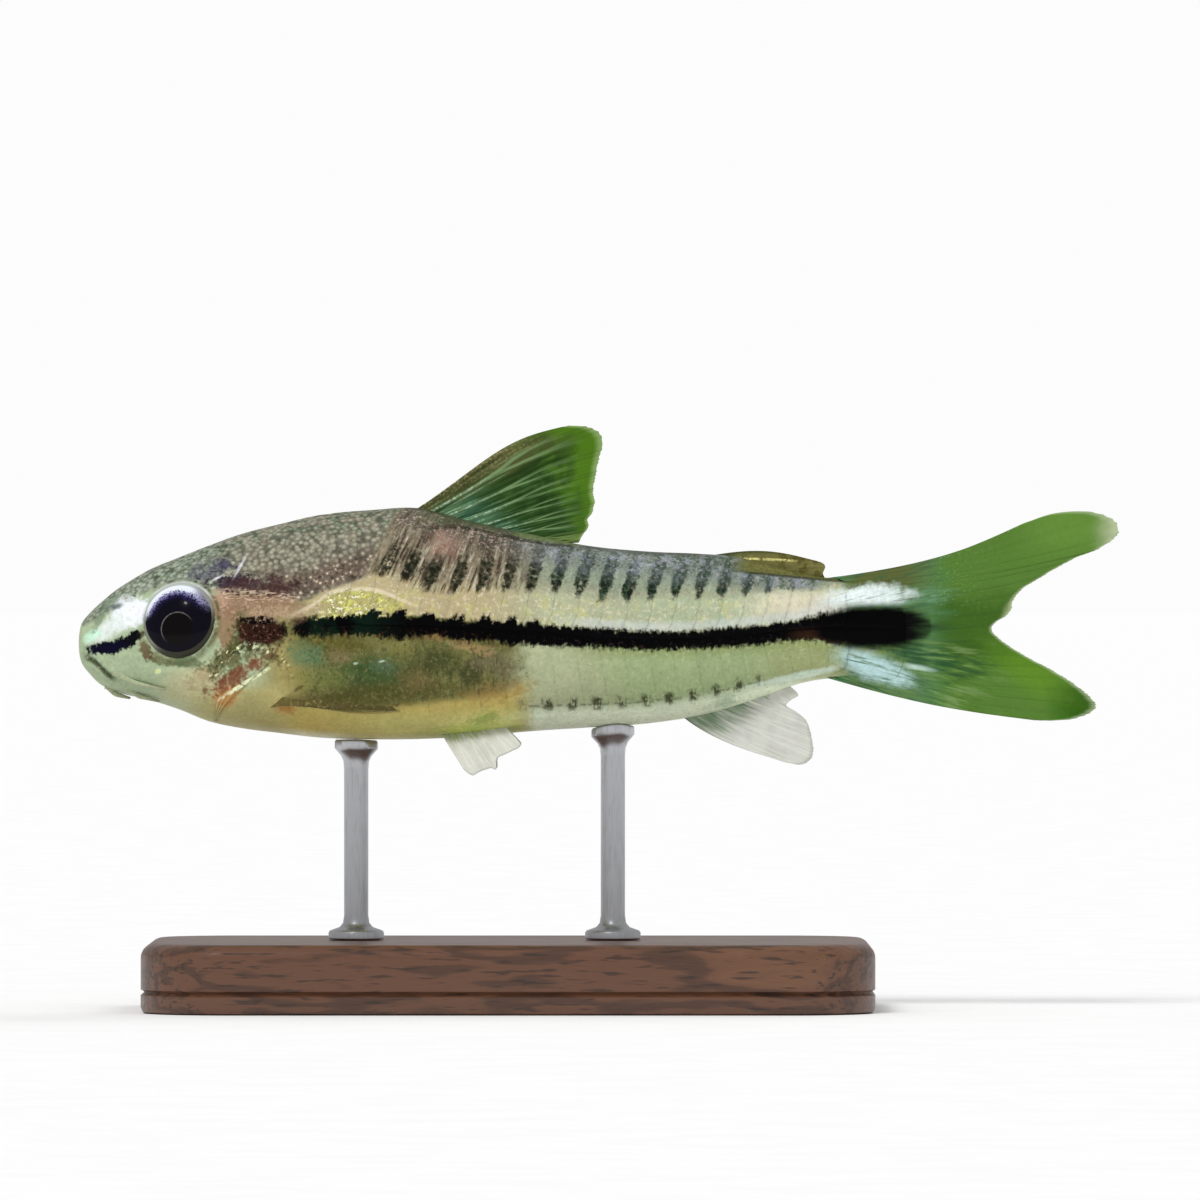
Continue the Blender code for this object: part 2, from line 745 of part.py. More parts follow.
def make_rods():
    """Round rods with a collar on the base, each ending in a cup shaped to the belly."""
    made = []
    for name, place in ROD_PLACES:
        rings = []
        for radius, height in ROD_FOOT:
            rings.append([Vector((x, y, BASE_HEIGHT + GAP + height)) for x, y in rod_ring(place, radius)])
        for radius, drop in ROD_CUP:
            ring = []
            for x, y in rod_ring(place, radius):
                belly_height = SEAM_HEIGHT + underside(x + BASE_CENTRE, y)
                ring.append(Vector((x, y, belly_height - GAP - drop)))
            rings.append(ring)
        made.append(lofted("stand_rod_" + name, rings))
    return made


# Assembly

def material(slot):
    colour, roughness, metallic = MATERIALS[slot]
    made = bpy.data.materials.new(slot)
    made.use_nodes = True
    shader = made.node_tree.nodes["Principled BSDF"]
    shader.inputs["Base Color"].default_value = (*colour, 1)
    shader.inputs["Roughness"].default_value = roughness
    shader.inputs["Metallic"].default_value = metallic
    return made


def seat(objects, slot, parent):
    """Sets the objects' size, outside and material, and hangs them on the parent's axes."""
    finish = material(slot)
    for obj in objects:
        face_outwards(obj)
        obj.data.transform(Matrix.Scale(MM, 4))
        obj.data.shade_smooth()
        obj.data.set_sharp_from_angle(angle=SHARP_ANGLE)
        obj.data.materials.clear()
        obj.data.materials.append(finish)
        obj.parent = parent


def empty(name, location):
    made = bpy.data.objects.new(name, None)
    made.location = location
    bpy.context.scene.collection.objects.link(made)
    return made


def main():
    for obj in list(bpy.data.objects):
        bpy.data.objects.remove(obj)
    snout = -TOTAL_LENGTH / 2
    fish = empty("pygmy_corydoras", (snout * MM, 0, SEAM_HEIGHT * MM))
    stand = empty("display_stand", ((snout + BASE_CENTRE) * MM, 0, 0))
    seat([make_head(), make_trunk(), make_tail_stalk()], "skin", fish)
    seat(make_gill_covers(), "gill_cover", fish)
    seat(make_eyes(), "eye", fish)
    seat(make_barbels(), "barbel", fish)
    seat([make_dorsal_fin(), make_adipose_fin(), *make_tail_lobes()], "green_fin", fish)
    seat([make_anal_fin(), *make_pelvic_fins(), *make_pectoral_fins()], "clear_fin", fish)
    seat([make_base()], "walnut", stand)
    seat(make_rods(), "steel", stand)


main()
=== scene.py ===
"""Looks of the pygmy corydoras: skin, bony plates, eyes, barbels, fins, stand and studio.

Shapes are worked out in millimetres in the fish's own axes: x runs back from the tip of the
snout, y out to the right side and z up from the lateral seam. in_metres() places them in the
model's frame.
"""

import math

import bpy
import numpy as np
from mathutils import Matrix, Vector


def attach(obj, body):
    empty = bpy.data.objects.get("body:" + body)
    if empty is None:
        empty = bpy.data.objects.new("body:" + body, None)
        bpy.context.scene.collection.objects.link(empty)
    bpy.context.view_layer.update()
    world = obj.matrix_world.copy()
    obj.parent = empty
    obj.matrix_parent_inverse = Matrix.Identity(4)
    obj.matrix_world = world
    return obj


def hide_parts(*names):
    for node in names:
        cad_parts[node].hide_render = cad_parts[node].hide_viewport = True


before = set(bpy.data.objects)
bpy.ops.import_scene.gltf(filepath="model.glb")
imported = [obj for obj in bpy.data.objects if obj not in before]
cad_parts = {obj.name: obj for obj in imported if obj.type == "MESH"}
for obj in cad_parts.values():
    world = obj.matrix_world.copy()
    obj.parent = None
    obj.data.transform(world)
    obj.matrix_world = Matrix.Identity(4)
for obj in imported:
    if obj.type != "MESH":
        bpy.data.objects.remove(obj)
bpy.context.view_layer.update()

MM = 0.001
TOTAL_LENGTH = 30.0
# Height of the fish's axis over the floor
SEAM_HEIGHT = 11.0


# Curves

def curve(knots):
    """A smooth curve through (place, value) knots, for numbers or arrays."""
    places, values = np.array(knots, float).T
    slopes = np.gradient(values, places)

    def at(t):
        t = np.clip(t, places[0], places[-1])
        i = np.clip(np.searchsorted(places, t) - 1, 0, len(places) - 2)
        width = places[i + 1] - places[i]
        f = (t - places[i]) / width
        return (
            (1 + 2 * f) * (1 - f) ** 2 * values[i]
            + f * (1 - f) ** 2 * width * slopes[i]
            + f * f * (3 - 2 * f) * values[i + 1]
            - f * f * (1 - f) * width * slopes[i + 1]
        )

    return at


def ease(t, start=0.0, end=1.0):
    """Rises smoothly from 0 at start to 1 at end."""
    f = np.clip((t - start) / (end - start), 0.0, 1.0)
    return f * f * (3 - 2 * f)


def between(ends, v):
    return ends[0] + (ends[1] - ends[0]) * v


def bump(t, centre, width):
    return np.exp(-((t - centre) / width) ** 2)


# The body's surface

# Distance from the snout, heights of back and belly, half width, height of the widest point,
# squareness of the belly. The last line is the flesh that runs out into the tail fin.
BODY_LINES = (
    (0.00, -0.45, -0.45, 0.00, -0.45, 2.0),
    (0.04, -0.02, -0.86, 0.42, -0.45, 2.0),
    (0.33, 0.44, -1.34, 0.86, -0.48, 2.0),
    (0.62, 0.72, -1.62, 1.06, -0.50, 2.1),
    (1.20, 1.18, -1.88, 1.36, -0.50, 2.2),
    (2.06, 1.67, -2.08, 1.70, -0.50, 2.3),
    (2.93, 2.05, -2.36, 1.95, -0.55, 2.3),
    (3.79, 2.39, -2.70, 2.14, -0.65, 2.4),
    (4.65, 2.70, -2.88, 2.30, -0.80, 2.5),
    (5.81, 3.00, -3.03, 2.44, -0.95, 2.6),
    (6.96, 3.26, -3.16, 2.50, -1.05, 2.6),
    (8.40, 3.40, -3.21, 2.46, -1.10, 2.6),
    (9.84, 3.45, -3.20, 2.36, -1.05, 2.6),
    (11.3, 3.08, -3.13, 2.22, -0.95, 2.5),
    (13.0, 2.71, -2.98, 2.02, -0.80, 2.4),
    (14.7, 2.37, -2.87, 1.80, -0.62, 2.3),
    (16.5, 2.20, -2.74, 1.54, -0.42, 2.2),
    (17.9, 2.14, -2.52, 1.30, -0.28, 2.2),
    (18.9, 2.06, -2.25, 1.13, -0.18, 2.1),
    (19.9, 1.81, -1.91, 0.96, -0.09, 2.1),
    (20.8, 1.58, -1.60, 0.80, -0.03, 2.0),
    (21.7, 1.44, -1.45, 0.64, 0.00, 2.0),
    (22.9, 1.50, -1.52, 0.34, 0.00, 2.0),
    (23.9, 1.46, -1.50, 0.012, 0.00, 2.0),
)
HEAD_END = 6.15
GILL_SLANT = ((-1.0, -2.2), (-0.5, -1.85), (-0.25, -1.15), (0.0, 0.0), (0.5, 0.7), (1.0, 1.05))
# Height of the seam between the two rows of plates, in the middle of the stripe
SEAM_LINE = (
    (0.0, 0.0), (6.5, 0.0), (9.0, 0.05), (11.0, -0.03), (13.3, -0.19), (16.0, -0.33),
    (18.5, -0.25), (20.0, -0.12), (21.4, 0.0), (24.0, 0.0),
)
PLATES_START = 6.75
PLATES_LEVEL = 9.6
PLATE_COUNT = 22
PLATE_LENGTH = (0.80, 0.60)
PLATE_LEAN = 0.5
TAIL_BOW_START = 20.2
TAIL_BOW = 0.5
TAIL_BOW_END = 22.75
FLESH_END = 23.85


def body_line(column):
    at = curve([(math.sqrt(line[0]), line[column]) for line in BODY_LINES])
    return lambda x: at(np.sqrt(np.maximum(x, 0.0)))


back = body_line(1)
belly = body_line(2)
half_width = body_line(3)
widest = body_line(4)
squareness = body_line(5)
gill_slant = curve(GILL_SLANT)
seam_line = curve(SEAM_LINE)


def flank(x, z):
    """Half width of the body at distance x and height z."""
    centre = widest(x)
    upper = z >= centre
    power = np.where(upper, 2.0, squareness(x))
    share = np.where(upper, (z - centre) / (back(x) - centre), (centre - z) / (centre - belly(x)))
    return half_width(x) * (1 - np.minimum(share, 1.0) ** power) ** (1 / power)


def underside(x, y):
    """Height of the belly's surface at distance x and y."""
    power = squareness(x)
    share = np.minimum(np.abs(y) / half_width(x), 1.0)
    return widest(x) - (widest(x) - belly(x)) * (1 - share ** power) ** (1 / power)


def slant(s, row):
    """How far behind s a ring lies at a row, where 1 is the back, 0 the seam and -1 the belly."""
    gill = gill_slant(row)
    level = ease(s, HEAD_END, PLATES_LEVEL)
    bowed = ease(s, TAIL_BOW_START, TAIL_BOW_END)
    plates = PLATE_LEAN * np.abs(row)
    behind = (gill * (1 - level) + plates * level) * (1 - bowed) - TAIL_BOW * row * row * bowed
    return np.where(s <= HEAD_END, gill * (np.maximum(s, 0.0) / HEAD_END) ** 1.5, behind)


def surface(s, row):
    """Points of the plain body's right side, in an array that ends in x, y and z."""
    x = s + slant(s, row)
    top, low, wide, centre = back(x), belly(x), half_width(x), widest(x)
    seam = np.arccos(np.minimum(0.4, (seam_line(x) - centre) / np.maximum(top - centre, 0.01)))
    angle = np.where(row >= 0, (1 - row) * seam, seam - row * (math.pi - seam))
    up, out = np.cos(angle), np.clip(np.sin(angle), 0.0, 1.0)
    power = np.where(up >= 0, 2.0, squareness(x))
    reach = np.where(up >= 0, top - centre, centre - low)
    y = wide * out ** (2 / power)
    z = centre + np.sign(up) * reach * np.abs(up) ** (2 / power)
    return np.stack([x, y, z], axis=-1)


def plate_edge(n):
    first, last = PLATE_LENGTH
    return PLATES_START + n * first - n * n * (first - last) / (2 * PLATE_COUNT)


def plate_number(s):
    """How many plates lie in front of s, with the share of the one that s is on."""
    first, last = PLATE_LENGTH
    bend = (first - last) / (2 * PLATE_COUNT)
    inside = np.maximum(first * first - 4 * bend * (s - PLATES_START), 0.0)
    return (first - np.sqrt(inside)) / (2 * bend)


def grid_normals(grid, closes_at_midline=False):
    """Unit normals of a grid of points, outwards on the right side of the body."""
    normal = np.cross(np.gradient(grid, axis=0), np.gradient(grid, axis=1))
    if closes_at_midline:
        normal[:, 0, 1] = 0
        normal[:, -1, 1] = 0
    length = np.linalg.norm(normal, axis=-1, keepdims=True)
    normal = normal / np.maximum(length, 1e-9)
    middle = normal[normal.shape[0] // 2, normal.shape[1] // 2]
    return normal * (1.0 if middle[1] > 0 else -1.0)


# Meshes

def in_metres(points):
    return (points + np.array([-TOTAL_LENGTH / 2, 0, SEAM_HEIGHT])) * MM


def signed_volume(points, faces):
    total = 0.0
    for group in faces:
        a = points[group[:, 0]]
        for k in range(1, group.shape[1] - 1):
            b, c = points[group[:, k]], points[group[:, k + 1]]
            total += np.einsum("ij,ij->i", a, np.cross(b, c)).sum()
    return total / 6


def assembled(name, points, faces, unwrap, fields, paint, sharp_angle=50):
    """A mesh object from face groups, their places on the unwrap, and fields of the points."""
    points = in_metres(points)
    if signed_volume(points, faces) < 0:
        faces = [group[:, ::-1] for group in faces]
        unwrap = [group[:, ::-1] for group in unwrap]
    sizes = np.concatenate([np.full(len(group), group.shape[1]) for group in faces])
    corners = np.concatenate([group.ravel() for group in faces])
    mesh = bpy.data.meshes.new(name)
    mesh.vertices.add(len(points))
    mesh.vertices.foreach_set("co", points.astype(np.float32).ravel())
    mesh.loops.add(len(corners))
    mesh.loops.foreach_set("vertex_index", corners.astype(np.int32))
    mesh.polygons.add(len(sizes))
    starts = np.concatenate([[0], np.cumsum(sizes)[:-1]])
    mesh.polygons.foreach_set("loop_start", starts.astype(np.int32))
    mesh.update(calc_edges=True)
    layer = mesh.uv_layers.new(name="OFBake")
    places = np.concatenate([group.reshape(-1, 2) for group in unwrap])
    layer.data.foreach_set("uv", places.astype(np.float32).ravel())
    for field, values in fields.items():
        made = mesh.attributes.new(field, "FLOAT_VECTOR", "POINT")
        made.data.foreach_set("vector", np.asarray(values, np.float32).ravel())
    mesh.validate()
    mesh.shade_smooth()
    mesh.set_sharp_from_angle(angle=math.radians(sharp_angle))
    mesh.materials.append(paint)
    obj = bpy.data.objects.new(name, mesh)
    bpy.context.scene.collection.objects.link(obj)
    return obj


def grid_cells(rows, columns, first=0, wraps=False):
    """Faces of a grid of points and their places on a unit square."""
    across = columns if wraps else columns - 1
    i, j = np.meshgrid(np.arange(rows - 1), np.arange(across), indexing="ij")
    i, j = i.ravel(), j.ravel()
    corner_i = np.stack([i, i + 1, i + 1, i], axis=-1)
    corner_j = np.stack([j, j, j + 1, j + 1], axis=-1)
    faces = first + corner_i * columns + corner_j % columns
    return faces, np.stack([corner_i / (rows - 1), corner_j / across], axis=-1)


def closed_tube(name, rings, fields, paint, ends=None, **more):
    """A closed surface through rings of points, an array (rings, points, 3)."""
    count, around, _ = rings.shape
    first, last = ends if ends else (rings[0].mean(axis=0), rings[-1].mean(axis=0))
    points = np.concatenate([rings.reshape(-1, 3), [first], [last]])
    quads, places = grid_cells(count, around, wraps=True)
    j = np.arange(around)
    after = (j + 1) % around
    base = (count - 1) * around
    nose = np.stack([after, j, np.full(around, count * around)], axis=-1)
    tail = np.stack([base + j, base + after, np.full(around, count * around + 1)], axis=-1)
    nose_round = np.stack([j + 1, j, j + 0.5], axis=-1) / around
    tail_round = np.stack([j, j + 1, j + 0.5], axis=-1) / around
    nose_places = np.stack([0 * nose_round, nose_round], axis=-1)
    tail_places = np.stack([0 * tail_round + 1, tail_round], axis=-1)
    whole = {}
    for field, values in fields.items():
        flat = values.reshape(-1, 3)
        whole[field] = np.concatenate([flat, [values[0].mean(axis=0)], [values[-1].mean(axis=0)]])
    unwrap = [places, nose_places, tail_places]
    return assembled(name, points, [quads, nose, tail], unwrap, whole, paint, **more)


# A sheet's patch on the unwrap: height of each face, and place and height of the rim between them
FACE_SHARE = 0.48
RIM_PLACE = 0.49
RIM_SHARE = 0.02


def sheet_parts(top, place, first=0):
    """Faces of a sheet between two grids like top, and their places on the unwrap.

    place = (u0, v0, u1, v1) is the sheet's patch, with the underside below the top.
    """
    rows, columns, _ = top.shape
    total = rows * columns
    u0, v0, u1, v1 = place
    above, cells = grid_cells(rows, columns, first)
    below = above[:, ::-1] + total
    corner, size = np.array([u0, v0]), np.array([u1 - u0, v1 - v0])
    face = size * [1.0, FACE_SHARE]
    above_places = corner + cells * face + [0, size[1] - face[1]]
    below_places = corner + cells[:, ::-1] * face
    rim = list(range(columns))
    rim += [r * columns + columns - 1 for r in range(1, rows)]
    rim += [(rows - 1) * columns + c for c in range(columns - 2, -1, -1)]
    rim += [r * columns for r in range(rows - 2, 0, -1)]
    rim = np.array(rim) + first
    after = np.roll(rim, -1)
    edge = np.stack([rim, after, after + total, rim + total], axis=-1)
    step = size[0] / len(rim)
    u = u0 + np.arange(len(rim)) * step
    low = np.full(len(rim), v0 + RIM_PLACE * size[1])
    high = low + RIM_SHARE * size[1]
    across, up = (u, u + step, u + step, u), (low, low, high, high)
    edge_places = np.stack([np.stack(across, axis=-1), np.stack(up, axis=-1)], axis=-1)
    return [above, below, edge], [above_places, below_places, edge_places]


def closed_sheet(name, top, under, fields, paint, **more):
    """One thin closed solid between two grids of points."""
    points = np.concatenate([top.reshape(-1, 3), under.reshape(-1, 3)])
    faces, places = sheet_parts(top, (0.0, 0.0, 1.0, 1.0))
    whole = {field: np.concatenate([values.reshape(-1, 3)] * 2) for field, values in fields.items()}
    return assembled(name, points, faces, places, whole, paint, **more)


# Procedural materials

def plug(tree, value, socket):
    if isinstance(value, Signal):
        tree.links.new(value.socket, socket)
    else:
        socket.default_value = value


class Signal:
    """One output of a node, which takes part in sums as a number does."""

    def __init__(self, tree, socket):
        self.tree = tree
        self.socket = socket

    def math(self, operation, *others):
        node = self.tree.nodes.new("ShaderNodeMath")
        node.operation = operation
        for value, socket in zip((self, *others), node.inputs):
            plug(self.tree, value, socket)
        return Signal(self.tree, node.outputs[0])

    def __add__(self, other):
        return self.math("ADD", other)

    def __sub__(self, other):
        return self.math("SUBTRACT", other)

    def __mul__(self, other):
        return self.math("MULTIPLY", other)

    def __truediv__(self, other):
        return self.math("DIVIDE", other)

    def __neg__(self):
        return self * -1.0

    def power(self, other):
        return self.math("POWER", other)

    def size(self):
        return self.math("ABSOLUTE")

    def fraction(self):
        return self.math("FRACT")

    def wave(self):
        return self.math("SINE")

    def least(self, other):
        return self.math("MINIMUM", other)

    def most(self, other):
        return self.math("MAXIMUM", other)

    def inverse(self):
        return self * -1.0 + 1.0

    def rise(self, start, end):
        """0 at start and 1 at end, with a smooth slope between. start may be the larger."""
        node = self.tree.nodes.new("ShaderNodeMapRange")
        node.interpolation_type = "SMOOTHSTEP"
        node.clamp = False
        plug(self.tree, self, node.inputs["Value"])
        node.inputs["From Min"].default_value = start
        node.inputs["From Max"].default_value = end
        return Signal(self.tree, node.outputs["Result"])

    def band(self, low, high, soft):
        """1 between low and high, and 0 outside."""
        return self.rise(low - soft, low + soft) * self.rise(high + soft, high - soft)


def linear(colour):
    """A colour of 0 to 255 a channel as the shader's linear light."""
    made = []
    for value in colour:
        c = value / 255
        made.append(c / 12.92 if c <= 0.04045 else ((c + 0.055) / 1.055) ** 2.4)
    return (*made, 1.0)


# Farthest place that a mark's edge can reach, in half lengths
MARK_REACH = 3.0
# A size so large that a pattern doesn't change along it
FLAT = 1e6
NOISE_ROUGHNESS = 0.6


class Paint:
    """A material whose colour is laid on in layers.

    Every node is made after the nodes that it reads. The nodes are worked out in the order in
    which they are made, with room for a limited number of values that wait. Without that room the
    piece turns black.
    """

    def __init__(self, name, ground, roughness=0.4):
        self.material = bpy.data.materials.new(name)
        self.material.use_nodes = True
        self.tree = self.material.node_tree
        self.shader = self.tree.nodes["Principled BSDF"]
        self.colour = linear(ground)
        self.roughness = roughness
        self.fields = {}
        self.place = self.tree.nodes.new("ShaderNodeTexCoord").outputs["Object"]

    def field(self, name):
        """The three numbers of one of the mesh's fields."""
        if name not in self.fields:
            node = self.tree.nodes.new("ShaderNodeAttribute")
            node.attribute_name = name
            parts = self.tree.nodes.new("ShaderNodeSeparateColor")
            self.tree.links.new(node.outputs["Color"], parts.inputs[0])
            self.fields[name] = [Signal(self.tree, parts.outputs[i]) for i in range(3)]
        return self.fields[name]

    def vector(self, *parts):
        node = self.tree.nodes.new("ShaderNodeCombineXYZ")
        for value, socket in zip(parts, node.inputs):
            plug(self.tree, value, socket)
        return node.outputs[0]

    def placed(self, middle, size, turn, place=None):
        """A place as seen from a middle, tilted upwards by degrees and measured in sizes."""
        node = self.tree.nodes.new("ShaderNodeMapping")
        node.vector_type = "TEXTURE"
        self.tree.links.new(place or self.place, node.inputs["Vector"])
        node.inputs["Location"].default_value = middle
        node.inputs["Rotation"].default_value = (0, -math.radians(turn), 0)
        node.inputs["Scale"].default_value = size
        return node.outputs[0]

    def grains(self, kind, grain, stretch=(1, 1, 1), shift=(0, 0, 0), turn=0.0, place=None):
        """A texture with grains of a size in millimetres."""
        size = [s * (1.0 if place else MM) for s in stretch]
        middle = [-offset * s for offset, s in zip(shift, size)]
        where = self.placed(middle, size, turn, place)
        node = self.tree.nodes.new(kind)
        self.tree.links.new(where, node.inputs["Vector"])
        node.inputs["Scale"].default_value = 1 / grain
        return node

    def noise(self, grain, detail=2.0, across=None, **more):
        """Cloudy values about 0.5. They also change with across, if that is given."""
        node = self.grains("ShaderNodeTexNoise", grain, **more)
        node.inputs["Detail"].default_value = detail
        node.inputs["Roughness"].default_value = NOISE_ROUGHNESS
        if across is not None:
            node.noise_dimensions = "4D"
            plug(self.tree, across, node.inputs["W"])
        return Signal(self.tree, node.outputs["Fac"])

    def cells(self, grain):
        """Distance from the middle of scattered cells, in cell sizes."""
        return Signal(self.tree, self.grains("ShaderNodeTexVoronoi", grain).outputs["Distance"])

    def mark(self, centre, half, turn, ragged, soft, fray):
        """Cover of an oval on the side, tilted upwards by degrees, with a ragged edge."""
        middle = in_metres(np.array([centre[0], 0, centre[1]]))
        size = np.array([half[0], FLAT, half[1]]) * MM * MARK_REACH
        where = self.placed(middle, size, turn)
        node = self.tree.nodes.new("ShaderNodeTexGradient")
        node.gradient_type = "SPHERICAL"
        self.tree.links.new(where, node.inputs["Vector"])
        near = Signal(self.tree, node.outputs["Fac"]) - fray * (ragged / MARK_REACH)
        return near.rise(1 - (1 + soft) / MARK_REACH, 1 - (1 - soft) / MARK_REACH)

    def lay(self, colour, cover):
        """Lays a colour, or a colour signal, over what is there."""
        node = self.tree.nodes.new("ShaderNodeMix")
        node.data_type = "RGBA"
        plug(self.tree, cover, node.inputs[0])
        plug(self.tree, self.colour, node.inputs[6])
        over = colour if isinstance(colour, Signal) else linear(colour)
        plug(self.tree, over, node.inputs[7])
        self.colour = Signal(self.tree, node.outputs[2])

    def shade(self, factor):
        """Darkens or lightens all that is there by a factor."""
        grey = self.tree.nodes.new("ShaderNodeCombineColor")
        for socket in grey.inputs[:3]:
            plug(self.tree, factor, socket)
        node = self.tree.nodes.new("ShaderNodeMix")
        node.data_type = "RGBA"
        node.blend_type = "MULTIPLY"
        node.inputs[0].default_value = 1.0
        plug(self.tree, self.colour, node.inputs[6])
        self.tree.links.new(grey.outputs[0], node.inputs[7])
        self.colour = Signal(self.tree, node.outputs[2])

    def finish(self, height=None, depth=0.02, **constants):
        """Joins the layers to the shader. height stands for depth millimetres of relief."""
        plug(self.tree, self.colour, self.shader.inputs["Base Color"])
        plug(self.tree, self.roughness, self.shader.inputs["Roughness"])
        if height is not None:
            node = self.tree.nodes.new("ShaderNodeBump")
            node.inputs["Distance"].default_value = depth * MM
            plug(self.tree, height, node.inputs["Height"])
            self.tree.links.new(node.outputs[0], self.shader.inputs["Normal"])
        for name, value in constants.items():
            plug(self.tree, value, self.shader.inputs[name.replace("_", " ")])
        return self.material


# Markings of the body, in millimetres from the snout and from the seam

# Middle height and half height of the dark stripe along the body
STRIPE = (
    (6.1, 0.07, 0.24), (6.5, 0.09, 0.30), (7.3, 0.12, 0.33), (8.1, 0.14, 0.34), (9.3, 0.09, 0.37),
    (10.3, 0.08, 0.29), (11.0, -0.03, 0.32), (11.7, -0.07, 0.33), (12.5, -0.14, 0.33),
    (13.3, -0.18, 0.33), (14.3, -0.23, 0.30), (15.3, -0.29, 0.29), (16.5, -0.34, 0.28),
    (17.6, -0.32, 0.28), (18.5, -0.26, 0.28), (20.0, -0.14, 0.30), (20.8, -0.04, 0.31),
    (21.4, 0.01, 0.42), (22.2, 0.00, 0.50),
)
# Height down to which the dark back and its bars reach
BACK_LIMIT = (
    (0.0, 0.06), (0.7, 0.36), (1.33, 0.80), (2.14, 1.10), (3.3, 1.38), (4.0, 1.08), (5.0, 1.05),
    (6.3, 0.78), (7.2, 1.08), (7.8, 1.26), (8.5, 1.50), (9.1, 1.40), (9.6, 1.20), (10.1, 1.02),
    (11.6, 1.04), (13.2, 1.03), (14.6, 0.86), (15.5, 0.74), (16.5, 0.83), (19.0, 0.89),
    (20.0, 1.03), (22.0, 1.15),
)
# Height of the fine dashed line low on the tail stalk
LOW_LINE = (
    (12.9, -2.24), (15.0, -2.19), (16.4, -2.11), (17.7, -1.96), (18.96, -1.70), (19.6, -1.53),
    (21.5, -1.35),
)
# Height of the lower edge of the dark belly
BELLY_EDGE = (
    (5.6, -1.80), (6.6, -2.14), (7.2, -2.25), (7.9, -2.35), (8.6, -2.33), (9.2, -2.22),
    (10.4, -2.10), (11.5, -1.95), (12.4, -1.75), (13.2, -1.40),
)
# Pale arch over the yellow flash
FLASH_ARCH = (
    (6.0, 0.30), (6.4, 0.46), (6.85, 0.70), (7.24, 0.97), (7.95, 1.13), (8.57, 1.09),
    (8.96, 0.97), (9.51, 0.74), (10.29, 0.52), (11.5, 0.40),
)
# Line at which the dorsal fin meets the back
DORSAL_FOOT = (
    (9.2, 3.05), (9.75, 2.92), (11.12, 2.89), (12.1, 2.69), (13.18, 2.47), (14.6, 2.30),
)
# Place of the ticks on the dashed line, in plates ahead of a plate's edge
TICK_SHIFT = 0.42
# Height about which the bars of the back lean, their lean in plates a millimetre in the rear and
# in front, and where it changes
LEAN_LEVEL = 1.4
LEANS = (0.14, 0.56)
LEAN_SPAN = (12.5, 8.6)
# Distance from the snout from which the tail's rays fan out
FAN_START = 18.5

stripe_middle = curve([knot[:2] for knot in STRIPE])
stripe_half = curve([knot[::2] for knot in STRIPE])
back_limit = curve(BACK_LIMIT)
low_line = curve(LOW_LINE)
belly_edge = curve(BELLY_EDGE)
flash_arch = curve(FLASH_ARCH)
dorsal_foot = curve(DORSAL_FOOT)


def body_fields(points, s):
    """What the body's materials need to know of each point."""
    x, y, z = points[..., 0], np.abs(points[..., 1]), points[..., 2]
    stripe = (z - stripe_middle(x)) / stripe_half(x)
    centre, out = eye_axis()
    from_eye, _ = from_axis(np.stack([x, y, z], axis=-1), centre, out)
    count = plate_number(s)
    leaned = count - (z - LEAN_LEVEL) * between(LEANS, ease(x, *LEAN_SPAN))
    fields = {
        "site": (x, z, 0 * x),
        "levels": (stripe, z - back_limit(x), z - low_line(x)),
        "plates": (count, leaned, back(x) - z),
        "zones": (z - belly_edge(x), from_eye, z - belly(x)),
        "lines": (z - flash_arch(x), z - mouth_height(x), z - dorsal_foot(x)),
    }
    return {name: np.stack(parts, axis=-1) for name, parts in fields.items()}


